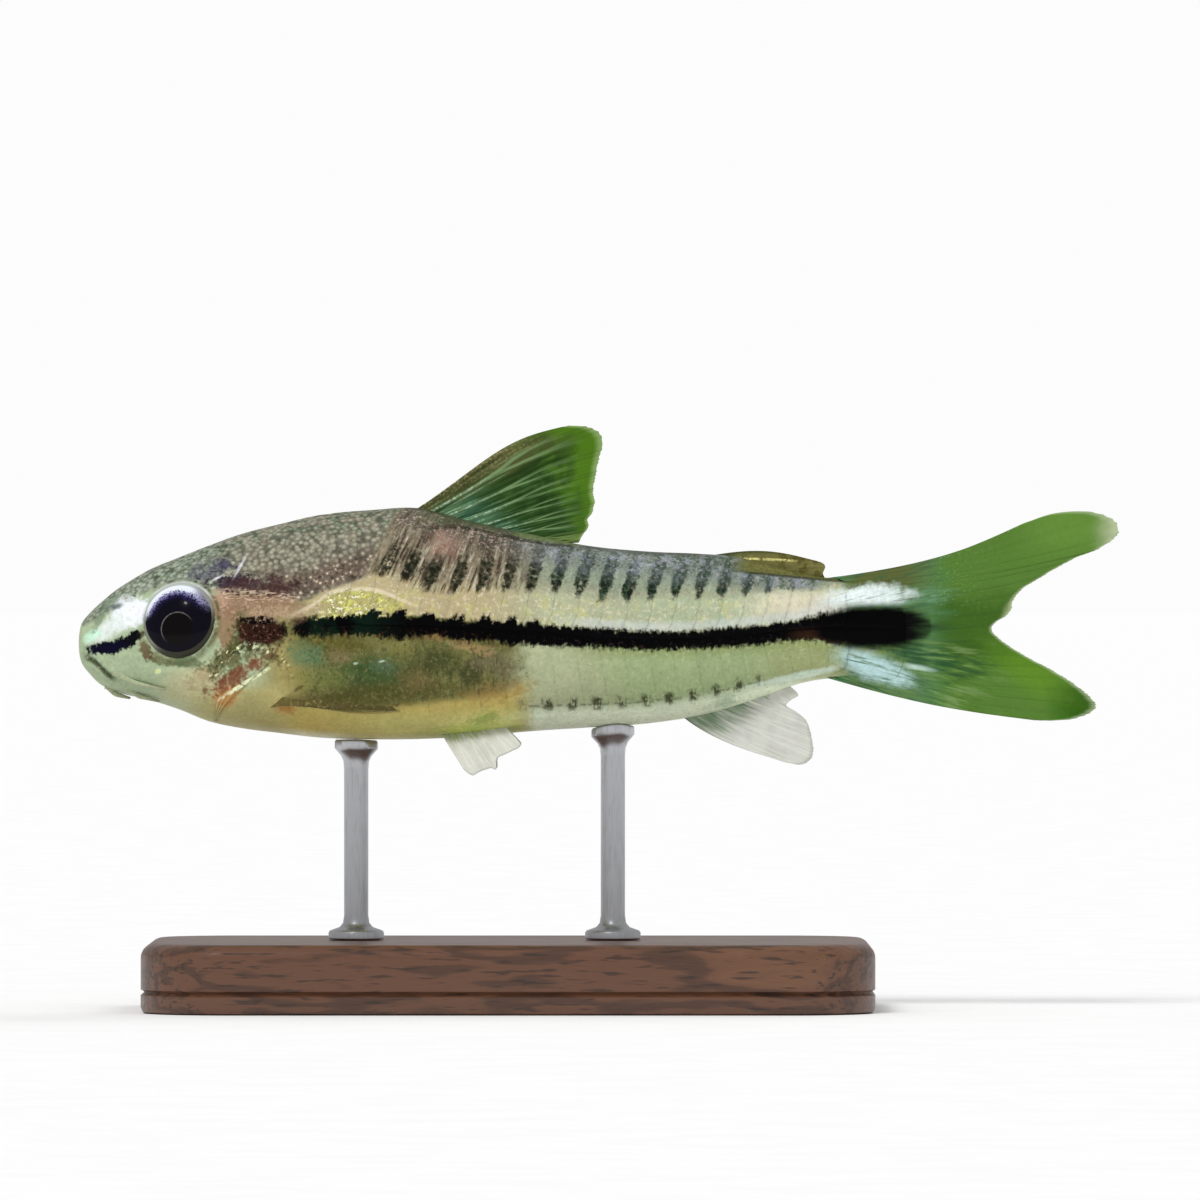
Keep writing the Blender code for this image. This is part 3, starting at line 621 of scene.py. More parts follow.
# Place, half length and half height, turn upwards in degrees, colour, strength, raggedness and
# softness of marks that are laid over each other
HEAD_MARKS = (
    # Cheek, the painted shadow below the eye, and the warm shades behind the eye
    ((3.50, -1.55), (1.10, 0.55), 15, (196, 188, 146), 0.60, 0.6, 0.50),
    ((3.75, -1.35), (0.50, 0.26), 20, (168, 146, 108), 0.60, 1.4, 0.50),
    # Painted shadow below the eye
    ((3.05, -0.97), (0.66, 0.15), -4, (92, 110, 74), 0.85, 1.4, 0.45),
    ((2.35, -0.86), (0.30, 0.12), -30, (112, 112, 76), 0.70, 1.4, 0.45),
    ((4.33, 0.00), (0.36, 1.10), 6, (146, 116, 88), 0.90, 1.1, 0.45),
    ((4.95, 0.62), (1.55, 0.44), -2, (146, 116, 92), 0.92, 0.8, 0.45),
    ((5.60, 0.42), (0.80, 0.16), 4, (176, 152, 122), 0.70, 1.3, 0.50),
    ((4.10, 0.80), (0.22, 0.36), 10, (190, 158, 134), 0.60, 1.4, 0.50),
    ((4.72, -0.10), (0.26, 0.52), -14, (84, 88, 50), 0.85, 1.5, 0.45),
    # Snout: white, partly pale skin and partly a painted highlight, then mint, grey shade and the
    # nostrils' smudge
    # White of the snout: pale skin brightened by a painted highlight
    ((1.50, 0.44), (0.56, 0.40), 22, (238, 242, 248), 0.95, 0.9, 0.35),
    ((1.92, 0.52), (0.30, 0.30), 0, (236, 240, 246), 0.90, 0.9, 0.40),
    ((0.92, 0.00), (0.60, 0.24), 36, (222, 230, 226), 0.92, 1.1, 0.40),
    ((0.42, -0.22), (0.28, 0.14), 30, (196, 234, 206), 0.85, 0.8, 0.40),
    ((0.62, 0.24), (0.30, 0.10), 60, (120, 138, 112), 0.80, 1.6, 0.45),
    ((0.92, 0.74), (0.34, 0.10), 42, (126, 144, 122), 0.70, 1.5, 0.45),
    ((1.14, 0.62), (0.19, 0.08), 12, (92, 106, 110), 0.80, 1.0, 0.45),
    # The dark bar through the snout
    ((1.96, -0.62), (0.14, 0.32), 26, (96, 76, 48), 0.85, 1.4, 0.40),
    ((1.66, -0.24), (0.36, 0.15), 20, (9, 10, 13), 1.00, 0.9, 0.22),
    ((1.32, -0.44), (0.36, 0.17), 16, (10, 9, 18), 1.00, 1.0, 0.22),
    ((0.88, -0.57), (0.58, 0.18), 6, (10, 8, 32), 1.00, 0.8, 0.20),
    # Violet and brown patches above the pink band, with two gleams that are painted highlights
    ((3.80, 1.62), (0.56, 0.24), 12, (80, 80, 96), 0.72, 2.4, 0.70),
    ((4.40, 1.32), (0.60, 0.22), 4, (44, 34, 56), 0.90, 2.4, 0.50),
    ((5.40, 1.20), (1.05, 0.22), -4, (66, 42, 42), 0.90, 2.6, 0.50),
    ((4.30, 1.86), (0.20, 0.12), 20, (58, 56, 82), 0.70, 2.4, 0.60),
    # Painted highlights: two white gleam lines
    ((4.69, 1.76), (0.30, 0.034), 61, (214, 214, 226), 0.75, 1.6, 0.60),
    ((4.02, 1.43), (0.18, 0.030), 28, (214, 214, 226), 0.70, 1.6, 0.60),
    # Gill cover and throat
    ((4.45, -0.95), (0.62, 0.44), 40, (82, 88, 50), 0.75, 1.8, 0.45),
    ((4.30, -1.95), (0.42, 0.30), 40, (190, 132, 76), 0.75, 0.9, 0.50),
    ((4.66, -1.33), (0.92, 0.20), 32, (118, 66, 46), 0.85, 1.6, 0.50),
    ((5.45, -0.78), (0.50, 0.16), -30, (96, 84, 52), 0.70, 1.6, 0.45),
    ((6.02, -2.26), (0.30, 0.20), 0, (178, 122, 64), 0.70, 0.9, 0.50),
    ((6.35, -1.76), (0.20, 0.05), 32, (84, 72, 36), 0.75, 1.2, 0.50),
)
TRUNK_MARKS = (
    ((7.42, -0.46), (0.95, 0.26), -6, (92, 86, 34), 0.75, 1.6, 0.60),
    ((9.35, -0.55), (0.62, 0.26), -10, (128, 124, 70), 0.55, 1.6, 0.60),
    ((8.40, -1.34), (1.30, 0.50), -4, (58, 84, 46), 0.85, 1.2, 0.70),
    ((8.84, -1.10), (0.34, 0.16), 0, (92, 118, 92), 0.50, 1.8, 0.70),
    ((7.60, -0.82), (0.32, 0.20), 0, (134, 116, 82), 0.60, 1.6, 0.60),
    ((6.60, -0.80), (0.46, 0.32), -20, (86, 124, 92), 0.65, 1.6, 0.70),
    ((7.00, -1.50), (0.70, 0.36), 0, (124, 130, 70), 0.60, 1.4, 0.60),
    ((8.90, -1.86), (1.90, 0.28), 4, (84, 82, 40), 0.75, 1.0, 0.60),
    ((9.85, -1.45), (0.50, 0.34), 20, (118, 102, 64), 0.60, 1.8, 0.60),
    ((10.35, -0.98), (0.62, 0.40), -14, (60, 68, 36), 0.80, 1.8, 0.60),
    ((11.33, -1.25), (0.34, 0.44), 0, (54, 60, 34), 0.80, 1.8, 0.60),
    ((12.00, -1.04), (0.60, 0.32), -16, (110, 104, 80), 0.70, 1.8, 0.60),
    ((12.05, -1.80), (0.85, 0.26), 8, (150, 118, 68), 0.55, 1.4, 0.70),
    ((10.38, -0.22), (0.26, 0.13), 0, (172, 126, 84), 0.60, 2.0, 0.60),
    ((11.30, -0.52), (0.50, 0.17), -14, (178, 144, 100), 0.55, 2.2, 0.70),
    ((11.75, -2.62), (0.42, 0.18), 20, (124, 154, 70), 0.55, 1.6, 0.80),
    ((11.10, -2.95), (0.50, 0.16), 0, (176, 186, 92), 0.60, 1.6, 0.70),
    ((12.60, -2.54), (0.32, 0.15), 10, (214, 222, 160), 0.55, 1.6, 0.80),
    ((18.60, -2.12), (0.40, 0.14), 24, (110, 150, 112), 0.50, 2.0, 0.80),
    ((20.70, -1.40), (1.30, 0.10), 12, (222, 240, 222), 0.80, 0.9, 0.60),
)
# Green patches, and white-blue gleams that are a painted sheen, round the blotch at the tail's
# root. After the colour comes the span of the streaks that show each one.
TAIL_MARKS = (
    ((24.00, 0.84), (1.10, 0.26), 8, (108, 150, 120), (0.42, 0.58), 0.80, 0.9, 0.60),
    ((24.90, -0.92), (1.30, 0.34), -14, (40, 78, 46), (0.56, 0.42), 0.80, 0.9, 0.60),
    ((22.80, 0.92), (1.15, 0.30), 3, (226, 238, 236), (0.30, 0.48), 0.97, 0.8, 0.45),
    ((22.90, -1.12), (1.10, 0.36), -20, (188, 220, 220), (0.34, 0.52), 0.97, 0.8, 0.45),
    ((24.15, -1.13), (0.42, 0.07), -10, (210, 234, 226), (0.34, 0.54), 0.70, 0.9, 0.80),
)
# Pale spots of the tail fin: the tip of its upper lobe and the notch between its lobes
TAIL_TIPS = (
    ((30.45, 2.75), (0.80, 0.75), 0, (196, 200, 168), 0.90, 0.3, 0.75),
    ((26.95, 0.50), (0.50, 0.22), 60, (164, 178, 128), 0.70, 0.3, 0.60),
)
# Middle and half sizes of the arch of gold flecks on the gill cover
GOLD_ARCH = ((5.12, -1.50), (1.21, 0.95))
# Fall of the adipose fin's foot, and its height over the seam if it ran on to the snout
FLAP_SLOPE = 0.095
FLAP_HEIGHT = 3.43
# Where the black blotch at the tail's root starts to round off, how far it runs on from there,
# and its half heights where it leaves the stripe and at its highest
BLOTCH_START = 22.9
BLOTCH_LENGTH = 1.68
BLOTCH_HALVES = (0.28, 0.56)


def lay_marks(paint, marks, fray):
    for centre, half, turn, colour, strength, ragged, soft in marks:
        paint.lay(colour, paint.mark(centre, half, turn, ragged, soft, fray) * strength)


def paint_body(name):
    """The body's colours, from the belly up to the back and then the markings over them."""
    p = Paint(name, (172, 178, 142))
    x, z, _ = p.field("site")
    stripe, above, low = p.field("levels")
    count, leaned, depth = p.field("plates")
    over_edge, from_eye, bottom = p.field("zones")
    arch, mouth, foot = p.field("lines")
    cloud = p.noise(1.1, 3.0)
    wobble = p.noise(0.34, 3.0, shift=(5, 5, 5))
    grain = p.noise(0.15, 3.0)
    speck = p.noise(0.10, 2.0, shift=(3, 1, 7))
    pepper = p.noise(0.11, 2.0, shift=(8, 2, 4))
    lace = p.cells(0.150) + (speck - 0.5) * 0.9
    strand = p.noise(1.0, 3.0, stretch=(FLAT, 1.0, 0.77), across=leaned * 6.0)
    hair = p.noise(1.0, 2.0, stretch=(0.10, FLAT, 0.42))
    fray = (wobble - 0.5) * 1.5 + (speck - 0.5) * 1.1

    # Lower side behind the belly
    tail_belly = (x + fray * 0.3).rise(12.4, 13.2)
    p.lay((158, 174, 128), x.rise(13.8, 16.5))
    p.lay((164, 171, 120), x.rise(19.0, 20.8) * 0.8)
    p.lay((136, 148, 92), (stripe + fray * 0.3).rise(-2.4, -1.1) * x.rise(13.6, 15.4) * 0.65)
    p.lay((240, 252, 222), (low + fray * 0.08).rise(0.12, -0.30) * tail_belly * 0.95)
    p.lay((190, 204, 166), pepper.rise(0.56, 0.68) * tail_belly * 0.35)
    p.lay((140, 152, 106), speck.rise(0.56, 0.68) * tail_belly * 0.35)

    # Belly
    p.lay((112, 112, 66), (x + z * -0.12 + fray * 0.50).rise(13.4, 12.2) * x.rise(5.0, 6.4))
    p.lay((158, 144, 88), (x + z * 0.4 + fray * 0.4).rise(6.6, 5.6) * x.rise(5.0, 6.0) * 0.8)
    lower = (over_edge + fray * 0.14).rise(0.16, -0.18) * x.rise(3.2, 5.6)
    lower = lower * (x + fray * 0.3).rise(13.3, 12.3)
    p.lay((196, 178, 104), lower)
    p.lay((206, 200, 126), lower * x.rise(6.5, 9.5) * bottom.rise(0.95, 0.5))
    p.lay((166, 184, 104), lower * x.rise(9.0, 11.0) * bottom.rise(0.5, 0.1) * 0.7)
    p.lay((228, 226, 190), bottom.rise(0.26, 0.02) * x.rise(3.4, 6.0) * x.rise(9.0, 7.0) * 0.85)

    # Head
    head = (x + fray * 0.25).rise(5.7, 4.5)
    p.lay((166, 182, 148), head)
    throat = (z + fray * 0.1).rise(-1.3, -2.0) * x.rise(2.4, 3.8)
    p.lay((176, 168, 112), throat * x.rise(6.6, 5.6) * 0.9)

    # Cream band above the stripe
    cream = (stripe + fray * 0.12).rise(0.6, 1.0) * x.rise(5.8, 7.0)
    p.lay((182, 168, 130), cream)
    p.lay((174, 179, 148), cream * x.rise(11.2, 14.0))
    p.lay((170, 183, 152), cream * x.rise(15.0, 17.0) * 0.8)
    p.lay((190, 188, 118), cream * wobble.rise(0.52, 0.64) * 0.45)
    p.lay((222, 210, 184), cream * pepper.rise(0.54, 0.66) * 0.55)
    p.lay((144, 140, 106), cream * speck.rise(0.56, 0.66) * 0.50)
    stalk_end = (x + fray * 0.6).rise(18.6, 20.4)
    p.lay((224, 214, 190), cream * stalk_end * z.band(0.30, 1.05, 0.25) * 0.75)
    p.lay((200, 206, 204), (stripe + fray * 0.3).band(0.9, 1.8, 0.3) * x.rise(13.4, 15.0) * 0.55)

    # Back: green grey on the nape, brown grey and then pale green behind
    over = (above + fray * 0.20).rise(-0.10, 0.12)
    soft_over = (above + fray * 0.30).rise(-0.10, 0.55)
    rear = (leaned + fray * 0.2).rise(1.2, 1.9)
    p.lay((146, 142, 124), over * rear.inverse())
    p.lay((152, 162, 144), over * x.rise(4.9, 3.4))
    p.lay((134, 122, 102), soft_over * rear)
    p.lay((146, 158, 136), soft_over * x.rise(12.0, 14.0) * 0.9)

    # Lacework of pale spots on the nape, warmer and brighter towards the pink band
    nape = over * rear.inverse()
    warm = nape * above.band(0.0, 0.80, 0.25) * x.band(5.4, 8.6, 0.5)
    p.lay((112, 88, 76), warm * 0.7)
    p.lay((96, 118, 94), nape * depth.rise(0.9, 0.3) * wobble.rise(0.44, 0.60) * 0.7)
    p.lay((68, 66, 56), nape * lace.rise(0.40, 0.70) * (wobble * 1.2 + 0.05).least(0.9))
    p.lay((182, 182, 164), nape * lace.rise(0.34, 0.10) * (cloud * 1.1 + 0.1).least(0.8))
    p.lay((226, 210, 184), warm * lace.rise(0.30, 0.12) * wobble.rise(0.36, 0.50) * 0.9)
    p.lay((46, 34, 30), warm * pepper.rise(0.54, 0.64) * 0.7)

    # Wavy strands that run down the plates behind the nape
    barred = (above + fray * 0.20).rise(-0.08, 0.14) * rear * (x + fray * 0.3).rise(21.9, 20.8)
    front = x.rise(13.8, 11.8)
    p.lay((62, 48, 38), barred * front * strand.rise(0.52, 0.42) * 0.88)
    p.lay((206, 194, 172), barred * front * strand.rise(0.57, 0.63) * 0.80)
    p.lay((158, 124, 110), p.mark((10.55, 2.50), (0.42, 0.42), 0, 1.4, 0.6, fray) * 0.7)
    p.lay((176, 188, 164), barred * front.inverse() * strand.rise(0.54, 0.64) * 0.45)
    p.lay((120, 130, 108), barred * speck.rise(0.54, 0.64) * 0.45)

    # Bars along the rear edges of the plates, narrow and dark at their feet
    lag = x.rise(14.5, 10.5) * 0.2
    phase = (leaned - lag + (wobble - 0.5) * 0.34 + (speck - 0.5) * 0.26 + 0.5).fraction()
    from_edge = (phase - 0.5).size()
    core = (from_edge - above.rise(0.0, 0.55) * 0.13).rise(0.21, 0.05)
    fading = (above + fray * 0.3).rise(1.30, 0.75).most(front.inverse() * 0.9)
    fading = fading * depth.rise(0.10, 0.55)
    bar = core * barred * fading
    p.lay((52, 52, 38), bar * grain.rise(0.34, 0.46) * 0.92)
    p.lay((38, 64, 48), bar * x.rise(12.5, 14.5) * wobble.rise(0.42, 0.56) * 0.7)
    p.lay((14, 18, 12), bar * grain.rise(0.48, 0.58) * 0.80)
    p.lay((60, 34, 20), bar * above.rise(0.30, 0.0) * x.rise(11.5, 10.5) * 0.6)

    # Grey crest with lavender flecks. Behind the dorsal fin its grey-blue and pale flecks are
    # partly the back's colour and partly a painted sheen along its top edge
    high = (depth + fray * 0.25).rise(1.10, 0.30)
    crest = barred * high
    p.lay((104, 94, 82), crest * front * 0.45)
    p.lay((112, 118, 122), crest * front.inverse() * 0.50)
    p.lay((50, 58, 54), crest * speck.rise(0.50, 0.60) * 0.75)
    p.lay((42, 62, 50), crest * core * x.rise(13.0, 14.5) * grain.rise(0.42, 0.54) * 0.6)
    p.lay((64, 84, 66), crest * x.rise(15.5, 17.5) * grain.rise(0.42, 0.58) * 0.65)
    # Pale flecks behind the dorsal fin: partly a painted sheen on the top edge
    p.lay((170, 172, 186), crest * wobble.rise(0.48, 0.62) * front.inverse() * 0.40)
    p.lay((192, 194, 204), crest * pepper.rise(0.55, 0.68) * front.inverse() * 0.40)
    p.lay((196, 178, 164), crest * pepper.rise(0.54, 0.64) * front * 0.60)
    top_line = (depth + fray * 0.05).rise(0.16, 0.02) * x.rise(8.5, 10.0) * x.rise(19.0, 17.5)
    p.lay((66, 72, 58), top_line * 0.7)

    # Foot of the dorsal fin: a dark line with the fin's green over it
    on_foot = x.band(9.9, 14.3, 0.6)
    green = (foot + fray * 0.20).rise(-0.04, 0.14) * on_foot
    p.lay((76, 84, 58), green * grain.rise(0.30, 0.52) * 0.75)
    p.lay((120, 136, 88), (foot + fray * 0.05).rise(0.0, 0.10) * x.band(12.6, 14.4, 0.3) * 0.7)
    foot_line = (foot + fray * 0.06).size().rise(0.09, 0.02) * on_foot
    p.lay((46, 44, 34), foot_line * grain.rise(0.36, 0.50) * 0.8)

    # Olive skin at the root of the adipose fin
    flap = z + x * FLAP_SLOPE - FLAP_HEIGHT
    p.lay((104, 104, 58), (flap + fray * 0.05).rise(-0.03, 0.05) * x.rise(18.6, 19.4))
    p.lay((52, 56, 36), (flap + fray * 0.03).size().rise(0.06, 0.01) * x.rise(18.8, 19.4) * 0.8)

    lay_marks(p, TRUNK_MARKS, fray)
    edge_line = (over_edge + fray * 0.05).size().rise(0.085, 0.02)
    p.lay((84, 74, 32), edge_line * x.band(6.5, 9.6, 0.3) * wobble.rise(0.34, 0.50) * 0.75)
    sac = (over_edge + fray * 0.1).rise(-0.1, 0.2) * (x + fray * 0.4).rise(13.0, 12.3)
    sac = sac * x.rise(6.0, 6.8) * stripe.rise(-0.6, -1.2)
    p.lay((150, 140, 98), sac * pepper.rise(0.52, 0.66) * 0.35)
    p.lay((52, 54, 30), sac * speck.rise(0.50, 0.64) * 0.50)
    p.lay((66, 66, 36), sac * hair.rise(0.54, 0.64) * x.rise(8.8, 10.0) * 0.45)
    for place in ((8.02, -1.01), (8.78, -0.95)):
        p.lay((190, 214, 190), p.mark(place, (0.07, 0.03), 10, 1.2, 0.6, fray) * 0.7)

    # Stripe, with a tooth in the middle of each plate on its upper edge and fine hairs all along
    tooth = from_edge.rise(0.16, 0.40) * x.rise(8.1, 8.5) * x.rise(14.0, 12.4)
    fringe = fray * 0.52 + (hair - 0.5) * 0.85 + (pepper - 0.5) * 0.7
    top_side = stripe + fringe - tooth * 0.55 - x.rise(10.0, 14.0) * 0.25 - 0.62
    low_side = -stripe + fringe - 0.95
    soft_edge = low_side.rise(0.65, -0.1) * stripe.rise(0.6, -0.4)
    brown_edge = soft_edge * x.rise(13.6, 12.2) * x.rise(6.0, 7.0)
    p.lay((88, 68, 38), brown_edge * grain.rise(0.42, 0.58) * 0.70)
    p.lay((80, 86, 54), soft_edge * x.rise(13.0, 14.0) * grain.rise(0.48, 0.62) * 0.50)
    on = top_side.rise(0.32, -0.20) * low_side.rise(0.32, -0.20) * (x + fray * 0.3).rise(6.05, 6.35)
    p.lay((3, 3, 4), on)
    p.lay((10, 30, 20), on * x.rise(9.6, 8.0) * cloud.rise(0.40, 0.58) * 0.8)
    p.lay((58, 34, 22), on * pepper.rise(0.56, 0.66) * low_side.rise(-0.8, -0.2) * 0.5)
    p.lay((30, 36, 54), on * pepper.rise(0.60, 0.70) * x.rise(13.0, 15.0) * 0.4)

    # Tufts of soft strokes along the low line
    tick_phase = (count + (TICK_SHIFT + 0.5) + (wobble - 0.5) * 0.4).fraction()
    tuft = (tick_phase - 0.5).size().rise(0.30, 0.08) * (low + fray * 0.12).band(-0.13, 0.20, 0.10)
    thread = (low + (wobble - 0.5) * 0.12).size().rise(0.07, 0.01) * grain.rise(0.42, 0.56) * 0.6
    tufts = (tuft * (hair * 0.5 + grain * 0.5).rise(0.42, 0.54)).most(thread) * tail_belly
    p.lay((52, 56, 32), tufts * x.rise(20.2, 19.4) * 0.90)

    lay_marks(p, HEAD_MARKS, fray)

    # Dark line of the mouth
    lip = (mouth + fray * 0.05).size().rise(0.16, 0.04) * (x + fray * 0.1).band(0.20, 1.05, 0.12)
    p.lay((62, 66, 40), lip * grain.rise(0.28, 0.46) * 0.85)

    # Yellow flash between the stripe and the pale arch, its own yellow with bright yellow and white
    # specks that are painted glints
    flash = (arch + fray * 0.06).rise(0.02, -0.08) * (x + fray * 0.3).band(7.0, 9.45, 0.2)
    flash = flash * top_side.rise(-0.1, 0.25)
    patch = flash * (wobble + (speck - 0.5) * 0.4).rise(0.40, 0.54)
    p.lay((176, 166, 120), flash * 0.85)
    p.lay((184, 180, 100), patch * 0.6)
    p.lay((104, 100, 44), flash * speck.rise(0.52, 0.66) * 0.65)
    # Painted glints: bright yellow and white specks on the flash
    p.lay((214, 216, 108), patch * grain.rise(0.50, 0.64) * arch.rise(-0.04, -0.2) * 0.75)
    p.lay((246, 246, 210), flash * pepper.rise(0.56, 0.66) * x.rise(9.2, 8.4) * 0.9)
    arch_line = (arch + fray * 0.08).size().rise(0.09, 0.02) * x.band(6.3, 9.6, 0.5)
    p.lay((222, 208, 180), arch_line * grain.rise(0.32, 0.48) * 0.7)

    # Mottled blotch on the gill cover, black along its upper and rear edge
    blotch = p.mark((5.33, -0.12), (0.72, 0.42), -4, 0.7, 0.25, fray)
    p.lay((52, 30, 22), blotch)
    p.lay((116, 84, 68), blotch * pepper.rise(0.57, 0.66) * 0.75)
    p.lay((16, 6, 6), blotch * speck.rise(0.50, 0.60) * 0.85)
    p.lay((6, 3, 4), p.mark((5.28, 0.22), (0.56, 0.12), -3, 1.0, 0.35, fray) * 0.95)
    p.lay((12, 6, 6), p.mark((5.98, -0.06), (0.09, 0.28), 8, 0.9, 0.4, fray) * 0.85)

    # Gold flecks in an arch on the gill cover, and a gleam along its lower rear edge that is a
    # painted highlight
    (arch_x, arch_z), (arch_half, arch_rise) = GOLD_ARCH
    dx, dz = (x - arch_x) / arch_half, (z - arch_z) / arch_rise
    ring = (dx * dx + dz * dz).power(0.5)
    fleck = p.noise(1.0, 2.0, stretch=(0.17, FLAT, 0.09), turn=45.0)
    arched = (ring + fray * 0.10).band(0.84, 1.12, 0.10) * dz.rise(-0.1, 0.1)
    arched = arched * (x + z * 0.4).rise(5.8, 5.5)
    p.lay((48, 50, 28), arched * fleck.rise(0.50, 0.42) * 0.8)
    p.lay((240, 244, 196), arched * fleck.rise(0.58, 0.66) * 0.95)
    p.lay((226, 236, 168), p.mark((2.34, -1.24), (0.09, 0.06), 20, 1.2, 0.5, fray) * 0.8)
    # Painted highlight: a gleam along the cover's lower rear edge
    line = p.mark((4.82, -1.60), (0.80, 0.055), 32, 0.7, 0.5, fray)
    p.lay((238, 242, 200), line * (grain + wobble * 0.5).rise(0.62, 0.74))
    # Painted highlights: pale wavy gleams along the pink band
    gleam = p.noise(0.30, 2.0, stretch=(2.6, 1.0, 0.5), shift=(1, 8, 3))
    band = p.mark((5.10, 0.92), (1.20, 0.18), -3, 0.9, 0.4, fray)
    p.lay((232, 204, 180), band * (gleam - 0.52).size().rise(0.030, 0.008) * 0.75)
    temple = p.mark((5.00, 0.60), (1.50, 0.46), -2, 0.8, 0.4, fray)
    p.lay((112, 88, 66), temple * speck.rise(0.50, 0.62) * 0.55)
    p.lay((194, 168, 144), temple * pepper.rise(0.54, 0.66) * 0.50)

    lay_tail(p, x, z, wobble, tail_streaks(p, x, z))

    # Ring round the eye, with a painted highlight as the white crescent over its top
    behind, up = x - EYE_X, z - EYE_Z
    rear_ring = from_eye.band(1.13, 1.24, 0.05) * behind.rise(0.1, 0.8)
    p.lay((74, 78, 46), rear_ring * grain.rise(0.3, 0.6) * 0.85)
    low_ring = from_eye.band(1.10, 1.30, 0.08) * up.rise(0.1, -0.6)
    p.lay((120, 118, 84), low_ring * wobble.rise(0.4, 0.6) * 0.6)
    p.lay((216, 219, 208), from_eye.band(0.80, 1.06, 0.025) * behind.rise(0.9, 0.3) * 0.9)
    # Painted highlight: the white crescent over the top of the eye
    p.lay((226, 232, 236), from_eye.band(0.80, 1.13, 0.06) * up.rise(0.45, 0.85) * 0.9)

    p.shade((speck - 0.5) * (over * 1.1 + 0.45) + (grain - 0.5) * 0.35 + 1.0)
    p.shade((cloud - 0.5) * 0.30 + (wobble - 0.5) * 0.20 + 1.0)
    p.roughness = (grain * 0.25 + 0.26).least(0.6)
    return p.finish(
        speck * 0.6 + grain * 0.8, 0.014, Coat_Weight=0.02, Coat_Roughness=0.15,
        Specular_IOR_Level=0.03, Subsurface_Weight=0.05, Subsurface_Scale=0.0003,
    )


def tail_streaks(p, x, z):
    """Fine streaks that fan out along the tail's rays."""
    slope = z / (x - FAN_START).most(0.5)
    return p.noise(1.0, 3.0, stretch=(1.4, FLAT, FLAT), across=slope * 34.0)


def lay_tail(p, x, z, wobble, streak):
    """The blotch at the tail's root with the pale blue gleams above and below it, which are a
    painted sheen.
    """
    edge = (wobble - 0.5) * 1.2 + (streak - 0.5) * 1.2
    root = (x + (wobble - 0.5) * 0.6).rise(21.8, 22.5) * (x + (streak - 0.5) * 1.8).rise(25.0, 23.6)
    p.lay((92, 122, 72), root)
    p.lay((88, 94, 50), root * (z + (wobble - 0.5) * 0.5).rise(1.05, 1.30) * 0.9)
    p.lay((52, 92, 66), root * streak.rise(0.50, 0.38) * 0.7)
    p.lay((160, 168, 108), root * z.band(-0.80, -0.55, 0.12) * x.rise(23.6, 22.6) * 0.7)
    # Green patches and the painted white-blue sheen
    for centre, half, turn, colour, span, strength, ragged, soft in TAIL_MARKS:
        shown = p.mark(centre, half, turn, ragged, soft, edge) * streak.rise(*span)
        p.lay(colour, shown * strength)
    small, large = BLOTCH_HALVES
    ahead = x.rise(20.9, 22.7) * (large - small) + small
    behind = ((x - BLOTCH_START) / BLOTCH_LENGTH).most(0.0).least(1.0)
    half = ahead * (behind * behind).inverse().power(0.5)
    body = (z - 0.03).size() + (wobble - 0.5) * 0.16 + (streak - 0.5) * 0.16 - half
    p.lay((52, 32, 20), body.rise(0.16, 0.0) * x.band(20.6, 22.2, 0.3) * z.rise(0.1, -0.2) * 0.7)
    p.lay((28, 50, 22), body.rise(0.26, -0.05) * x.rise(21.6, 22.4) * x.rise(25.6, 24.4) * 0.75)
    black = body.rise(0.12, -0.10) * x.rise(21.0, 21.5)
    p.lay((2, 2, 3), black * (x + (streak - 0.5) * 1.4).rise(24.9, 23.9))


# Skin

EYE_X = 2.94
EYE_Z = 0.26
EYE_RADIUS = 1.12
EYE_HALF_DEPTH = 0.50
EYE_SINK = 0.20
# Distance on both sides of the eye over which the flank's slope is measured
EYE_REACH = 0.8
EYE_RIM = 0.060
EYE_FOLD = 0.018
EYE_CUP = 0.42
MOUTH_LINE = ((-0.30, -0.76), (0.20, -0.82), (0.55, -1.02), (0.85, -1.32), (1.16, -1.50))
LIP_RISE = 0.040
LIP_FOLD = 0.015
MOUTH_DEPTH = 0.085
# Distance, height and radius of each nostril
NOSTRILS = ((1.02, 0.56, 0.15), (1.50, 0.78, 0.17))
NOSTRIL_RIM = 0.045
NOSTRIL_DEPTH = 0.13
mouth_height = curve(MOUTH_LINE)

# Growth of the gaps between the skin's rings on the snout, the even gap behind, and points a side
RING_GROWTH = 0.0006
RING_STEP = 0.05
SIDE_POINTS = 150


def ring_places():
    """Distances of the skin's rings: crowded on the snout, then even."""
    growing = int(RING_STEP / (2 * RING_GROWTH))
    places = [RING_GROWTH * (i + 1) ** 2 for i in range(growing)]
    while places[-1] < FLESH_END:
        places.append(places[-1] + RING_STEP)
    return np.array(places)


def eye_axis():
    """Middle of the eye on the right flank, and the way it looks."""
    forward = flank(EYE_X + EYE_REACH, EYE_Z) - flank(EYE_X - EYE_REACH, EYE_Z)
    upward = flank(EYE_X, EYE_Z + EYE_REACH) - flank(EYE_X, EYE_Z - EYE_REACH)
    out = np.array([-forward, 2 * EYE_REACH, -upward])
    return np.array([EYE_X, flank(EYE_X, EYE_Z), EYE_Z]), out / np.linalg.norm(out)


def from_axis(points, centre, out):
    away = points - centre
    along_it = away @ out
    return np.linalg.norm(away - along_it[..., None] * out, axis=-1), along_it


def eye_relief(points):
    """The rim that stands round the eye and the cup that holds it."""
    centre, out = eye_axis()
    distance, along_it = from_axis(points, centre, out)
    near = ease(along_it, -1.2, -0.6)
    rim = EYE_RIM * bump(distance, 1.16, 0.09) + EYE_FOLD * bump(distance, 1.42, 0.10)
    cup = -EYE_CUP * ease(distance, 1.06, 0.95)
    return near * (rim + cup)


